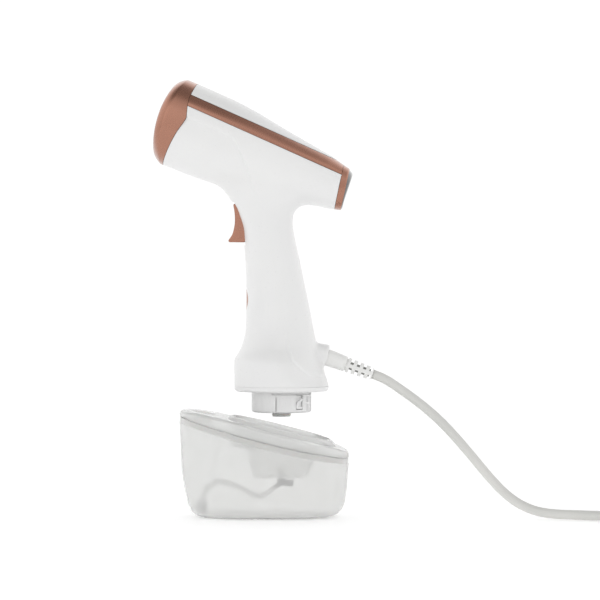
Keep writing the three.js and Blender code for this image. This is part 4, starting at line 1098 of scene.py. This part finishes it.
WORLD_STOPS = [(0.0, 1.0), (0.5, 1.0), (0.6, 1.12), (0.8, 1.2), (0.88, 0.9), (0.94, 0.4), (1.0, 0.3)]
CAMERA_SIDE, FAR_SIDE = 0.77, 1.04  # brightness in front of the object and behind it


def add_world():
    """A soft white studio, darker overhead."""
    world = bpy.data.worlds.new("studio")
    world.use_nodes = True
    tree = world.node_tree
    background = tree.nodes["Background"]
    where = tree.nodes.new("ShaderNodeTexCoord")
    split = tree.nodes.new("ShaderNodeSeparateXYZ")
    height = tree.nodes.new("ShaderNodeMapRange")
    height.inputs["From Min"].default_value = -1
    ramp = tree.nodes.new("ShaderNodeValToRGB")
    ramp.color_ramp.interpolation = "EASE"
    tree.links.new(where.outputs["Generated"], split.inputs[0])
    tree.links.new(split.outputs["Z"], height.inputs["Value"])
    tree.links.new(height.outputs["Result"], ramp.inputs["Fac"])
    while len(ramp.color_ramp.elements) < len(WORLD_STOPS):
        ramp.color_ramp.elements.new(0.5)
    for element, (at, grey) in zip(ramp.color_ramp.elements, WORLD_STOPS):
        element.position = at
        element.color = (grey, grey, grey, 1)
    tree.links.new(ramp.outputs["Color"], background.inputs["Color"])
    depth = tree.nodes.new("ShaderNodeMapRange")
    depth.inputs["From Min"].default_value = -1
    depth.inputs["From Max"].default_value = 0.2
    depth.inputs["To Min"].default_value = CAMERA_SIDE
    depth.inputs["To Max"].default_value = FAR_SIDE
    tree.links.new(split.outputs["Y"], depth.inputs["Value"])
    tree.links.new(depth.outputs["Result"], background.inputs["Strength"])
    bpy.context.scene.world = world


def add_panel(name, at, look, size, power):
    """A soft box, aimed at a point."""
    data = bpy.data.lights.new(name, "AREA")
    data.shape = "RECTANGLE"
    data.size, data.size_y = size
    data.energy = power
    light = bpy.data.objects.new(name, data)
    light.location = at
    light.rotation_euler = (Vector(look) - Vector(at)).to_track_quat("-Z", "Y").to_euler()
    bpy.context.scene.collection.objects.link(light)


FLOOR_SIZE, FLOOR_Z = 3200.0, -0.4


def add_floor():
    def build(tree, shader):
        set_sockets(shader, Base_Color=(0.9, 0.9, 0.9, 1), Roughness=0.7, Emission_Color=(1, 1, 1, 1),
                    Emission_Strength=0.3)
        grain = tree.nodes.new("ShaderNodeTexNoise")
        grain.inputs["Scale"].default_value = 40
        bump = tree.nodes.new("ShaderNodeBump")
        bump.inputs["Strength"].default_value = 0.02
        tree.links.new(grain.outputs["Fac"], bump.inputs["Height"])
        tree.links.new(bump.outputs["Normal"], shader.inputs["Normal"])

    size = FLOOR_SIZE
    floor = make("floor", [(-size, -size, FLOOR_Z), (size, -size, FLOOR_Z), (size, size, FLOOR_Z),
                           (-size, size, FLOOR_Z)],
                 [(0, 1, 2, 3)])
    floor.data.materials.append(node_material("floor_white", build))


add_world()
add_floor()
add_panel("front_box", (-0.9, -2.6, 1.0), (0, 0, 0.15), (2.4, 1.8), 4)
bpy.context.scene.view_settings.view_transform = "Standard"


# ---------- materials ----------


def noise_at(tree, where, scale, detail=2.0, stretch=None):
    """Noise in object space, stretched along the axes if asked."""
    noise = tree.nodes.new("ShaderNodeTexNoise")
    noise.inputs["Scale"].default_value = scale
    noise.inputs["Detail"].default_value = detail
    place = where.outputs["Object"]
    if stretch:
        mapping = tree.nodes.new("ShaderNodeMapping")
        mapping.inputs["Scale"].default_value = stretch
        tree.links.new(place, mapping.inputs["Vector"])
        place = mapping.outputs["Vector"]
    tree.links.new(place, noise.inputs["Vector"])
    return noise


def grain(tree, shader, noise, strength, distance=0.0002):
    """Fine surface relief from noise."""
    bump = tree.nodes.new("ShaderNodeBump")
    bump.inputs["Strength"].default_value = strength
    bump.inputs["Distance"].default_value = distance
    tree.links.new(noise.outputs["Fac"], bump.inputs["Height"])
    tree.links.new(bump.outputs["Normal"], shader.inputs["Normal"])


def varied(tree, noise, target, low, high):
    """Drives a socket between two values by noise."""
    spread = tree.nodes.new("ShaderNodeMapRange")
    spread.inputs["From Min"].default_value = 0.3
    spread.inputs["From Max"].default_value = 0.7
    spread.inputs["To Min"].default_value = low
    spread.inputs["To Max"].default_value = high
    tree.links.new(noise.outputs["Fac"], spread.inputs["Value"])
    tree.links.new(spread.outputs["Result"], target)


def tinted(tree, shader, noise, low, high):
    """Drifts the colour between two tones by noise."""
    ramp = tree.nodes.new("ShaderNodeValToRGB")
    first, last = ramp.color_ramp.elements
    first.position, last.position = 0.35, 0.65
    first.color, last.color = (*low, 1), (*high, 1)
    tree.links.new(noise.outputs["Fac"], ramp.inputs["Fac"])
    tree.links.new(ramp.outputs["Color"], shader.inputs["Base Color"])


def surface(name, low, high, roughness, bump, scale, drift=18, stretch=None, **sockets):
    """A material with slow colour drift, uneven gloss and a fine grain."""
    def build(tree, shader):
        set_sockets(shader, **sockets)
        where = tree.nodes.new("ShaderNodeTexCoord")
        fine = noise_at(tree, where, scale, 2.0, stretch)
        grain(tree, shader, fine, bump)
        varied(tree, fine, shader.inputs["Roughness"], roughness * 0.85, roughness * 1.2)
        tinted(tree, shader, noise_at(tree, where, drift, 3.0), low, high)

    return node_material(name, build)


TANK_TONES = (0.962, 0.965, 0.957), (0.978, 0.978, 0.97)
CUP_TONES = (0.985, 0.987, 0.98), (0.997, 0.997, 0.99)


def frosted(name, tones, clear, bending):
    """Milky clear plastic: clear is the share of light let through, bending its refractive index."""
    return surface(name, *tones, 0.17, 0.01, 300, 12, Transmission_Weight=clear, IOR=bending)


def board_material():
    """Green solder mask with copper tracks showing through."""
    def build(tree, shader):
        set_sockets(shader, Roughness=0.35)
        where = tree.nodes.new("ShaderNodeTexCoord")
        tracks = tree.nodes.new("ShaderNodeTexBrick")
        tracks.inputs["Scale"].default_value = 260
        tracks.inputs["Mortar Size"].default_value = 0.03
        tracks.inputs["Color1"].default_value = (0.02, 0.13, 0.06, 1)
        tracks.inputs["Color2"].default_value = (0.025, 0.16, 0.07, 1)
        tracks.inputs["Mortar"].default_value = (0.05, 0.26, 0.1, 1)
        tree.links.new(where.outputs["Object"], tracks.inputs["Vector"])
        tree.links.new(tracks.outputs["Color"], shader.inputs["Base Color"])
        grain(tree, shader, noise_at(tree, where, 900), 0.05)

    return node_material("circuit_board", build)


def relief_painted_shade_material():
    """Pale rings round a core painted dark as shade in the slots, by the distance from the sleeve's own axis.
    """
    def build(tree, shader):
        where = tree.nodes.new("ShaderNodeTexCoord")
        fine = noise_at(tree, where, 700)
        grain(tree, shader, fine, 0.03)
        varied(tree, fine, shader.inputs["Roughness"], 0.38, 0.54)
        sleeve = tree.nodes.new("ShaderNodeMapping")
        sleeve.vector_type = "TEXTURE"
        sleeve.inputs["Location"].default_value = RELIEF_POINT * MM
        sleeve.inputs["Rotation"].default_value = (0, RELIEF_FALL, 0)
        across = tree.nodes.new("ShaderNodeVectorMath")
        across.operation = "MULTIPLY"
        across.inputs[1].default_value = (0, 1, 1)
        radius = tree.nodes.new("ShaderNodeVectorMath")
        radius.operation = "LENGTH"
        share = tree.nodes.new("ShaderNodeMapRange")
        share.inputs["From Min"].default_value = 3.4 * MM
        share.inputs["From Max"].default_value = 4.6 * MM
        core_shade_ramp = tree.nodes.new("ShaderNodeValToRGB")
        core, ring = core_shade_ramp.color_ramp.elements
        # The core's dark grey is painted shade for the slots between the rings, not the sleeve's own colour.
        core.color, ring.color = (0.3, 0.3, 0.285, 1), (0.81, 0.81, 0.795, 1)
        tree.links.new(where.outputs["Object"], sleeve.inputs["Vector"])
        tree.links.new(sleeve.outputs["Vector"], across.inputs[0])
        tree.links.new(across.outputs["Vector"], radius.inputs[0])
        tree.links.new(radius.outputs["Value"], share.inputs["Value"])
        tree.links.new(share.outputs["Result"], core_shade_ramp.inputs["Fac"])
        tree.links.new(core_shade_ramp.outputs["Color"], shader.inputs["Base Color"])

    return node_material("relief_pvc_painted_shade", build)


MATERIALS = {
    "white_plastic": surface("white_gloss", (0.80, 0.80, 0.80), (0.815, 0.815, 0.81), 0.32, 0.004, 700,
                             Coat_Weight=0.12, Coat_Roughness=0.12),
    "rose_gold": surface("rose_gold_satin", (0.385, 0.182, 0.124), (0.42, 0.2, 0.137), 0.28, 0.006, 1400, 14,
                         Metallic=1.0, Coat_Weight=0.5, Coat_Roughness=0.1),
    "dark_lens": surface("dark_window", (0.02, 0.012, 0.010), (0.03, 0.018, 0.015), 0.1, 0.01, 900,
                         IOR=1.9, Coat_Weight=1.0, Coat_Roughness=0.04, Coat_IOR=1.8),
    "dark_plastic": surface("black_plastic", (0.035, 0.034, 0.033), (0.055, 0.054, 0.052), 0.45, 0.06, 1200),
    "frosted_plastic": frosted("frosted_tank", TANK_TONES, 0.68, 1.16),
    "steel": surface("bright_steel", (0.55, 0.55, 0.56), (0.62, 0.62, 0.63), 0.25, 0.03, 900, 30, (1, 9, 1),
                     Metallic=1.0),
    "aluminium": surface("cast_aluminium", (0.5, 0.51, 0.52), (0.6, 0.61, 0.62), 0.45, 0.25, 700, 60,
                         Metallic=1.0),
    "rubber": surface("black_rubber", (0.03, 0.03, 0.03), (0.05, 0.05, 0.05), 0.75, 0.2, 1500),
    "silicone": surface("clear_silicone", (0.72, 0.71, 0.68), (0.78, 0.77, 0.74), 0.45, 0.05, 900,
                        Subsurface_Weight=0.2, Subsurface_Scale=0.002),
    "cord_plastic": surface("cord_pvc", (0.63, 0.63, 0.605), (0.69, 0.685, 0.66), 0.42, 0.08, 600),
    "circuit_board": board_material(),
    "brass": surface("nickelled_brass", (0.60, 0.55, 0.45), (0.68, 0.62, 0.5), 0.22, 0.02, 1200, 30,
                     (9, 1, 1),
                     Metallic=1.0),
    "nylon": surface("natural_nylon", (0.62, 0.60, 0.54), (0.70, 0.68, 0.62), 0.5, 0.08, 1000),
}


# ---------- making the pieces ----------

head_outer, body_outer = outer_body()
hollows = hollow_cutters()
left_shell, right_shell = make_shells(body_outer, hollows)
bezel = make_bezel(head_outer, hollows)
top_cover, left_trim, right_trim = make_bands(head_outer, hollows)
rear_ring, rear_lens = make_rear(head_outer)
steam_plate = make_steam_plate()
trigger = make_trigger()
power_button = make_power_button(body_outer)
discard(head_outer, body_outer, *hollows)
strain_relief = make_strain_relief()
base_plate = make_base_plate()
connector = make_connector()
latch_hook = make_latch_hook()
inlet_nozzle = make_nozzle()
tank_body = make_tank_body()
tank_lid = make_tank_lid()
filler_plug = make_filler_plug()
socket_cup = make_socket_cup()
pickup_hose = make_pickup_hose()
filter_weight = make_filter_weight()
coil_tie = make_coil_tie()
plug_body, *pins = make_plug()


# ---------- every piece takes its finish, its body and its CAD nodes ----------

SLOT_OF = {row["node"]: row["material_slot"] for row in frame["record"]["subparts"]}
BODY_OF = {node: body for body, nodes in frame["record"]["behaviour"]["bodies"].items() for node in nodes}


def paint(piece, slot):
    piece.data.materials.clear()
    piece.data.materials.append(MATERIALS[slot])


def stand_for(piece, node):
    """A fine piece takes the place of a CAD node."""
    piece.name = f"fine_{node}"
    paint(piece, SLOT_OF[node])
    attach(piece, BODY_OF[node])
    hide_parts(node)


FINE = {
    "left_shell": left_shell, "right_shell": right_shell, "front_bezel": bezel, "top_cover": top_cover,
    "left_trim": left_trim, "right_trim": right_trim, "rear_ring": rear_ring, "rear_lens": rear_lens,
    "trigger": trigger, "power_button": power_button, "strain_relief": strain_relief,
    "steam_plate": steam_plate,
    "base_plate": base_plate, "connector": connector, "latch_hook": latch_hook, "inlet_nozzle": inlet_nozzle,
    "tank_body": tank_body, "tank_lid": tank_lid, "filler_plug": filler_plug, "socket_cup": socket_cup,
    "pickup_hose": pickup_hose, "filter_weight": filter_weight, "coil_tie": coil_tie, "plug_body": plug_body,
    "plug_pin_1": pins[0], "plug_pin_2": pins[1],
}
for node, piece in FINE.items():
    stand_for(piece, node)
# The strain relief takes a material whose core is painted dark as shade in its slots.
strain_relief.data.materials[0] = relief_painted_shade_material()
tank_lid.data.materials[0] = frosted("frosted_lid", TANK_TONES, 0.62, 1.16)
socket_cup.data.materials[0] = frosted("frosted_cup", CUP_TONES, 0.8, 1.1)
pickup_hose.data.materials[0] = surface("clear_hose", (0.93, 0.93, 0.92), (0.96, 0.96, 0.95), 0.35, 0.02, 900,
                                        Transmission_Weight=0.35, IOR=1.2)
# Each spring, with the piece it is fixed to, the piece that pushes it and its two ends; here each is only
# copied from its CAD node, painted and baked.
SPRINGS = {
    "trigger_spring": ("handset", "trigger", (4.9, 0, 220), (-1.4, 0, 220)),
    "button_spring": ("handset", "power_button", (2.3, 0, BUTTON_Z), (-2.5, 0, BUTTON_Z)),
    "valve_spring": ("tank", "tank_valve", (DOCK_X, 0, 32.6), (DOCK_X, 0, 35.5)),
}
for node, (fixed, moving, start, end) in SPRINGS.items():
    spring = duplicate(frame["nodes"][node], f"fine_{node}")
    paint(spring, SLOT_OF[node])
    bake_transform(spring)
    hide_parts(node)
for node, slot in SLOT_OF.items():
    if node not in (*FINE, *SPRINGS, "cord", "cord_coil"):
        part = frame["nodes"][node]
        part.data.materials.clear()
        part.data.materials.append(MATERIALS[slot])

paint(cord, "cord_plastic")
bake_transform(cord)
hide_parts("cord", "cord_coil")
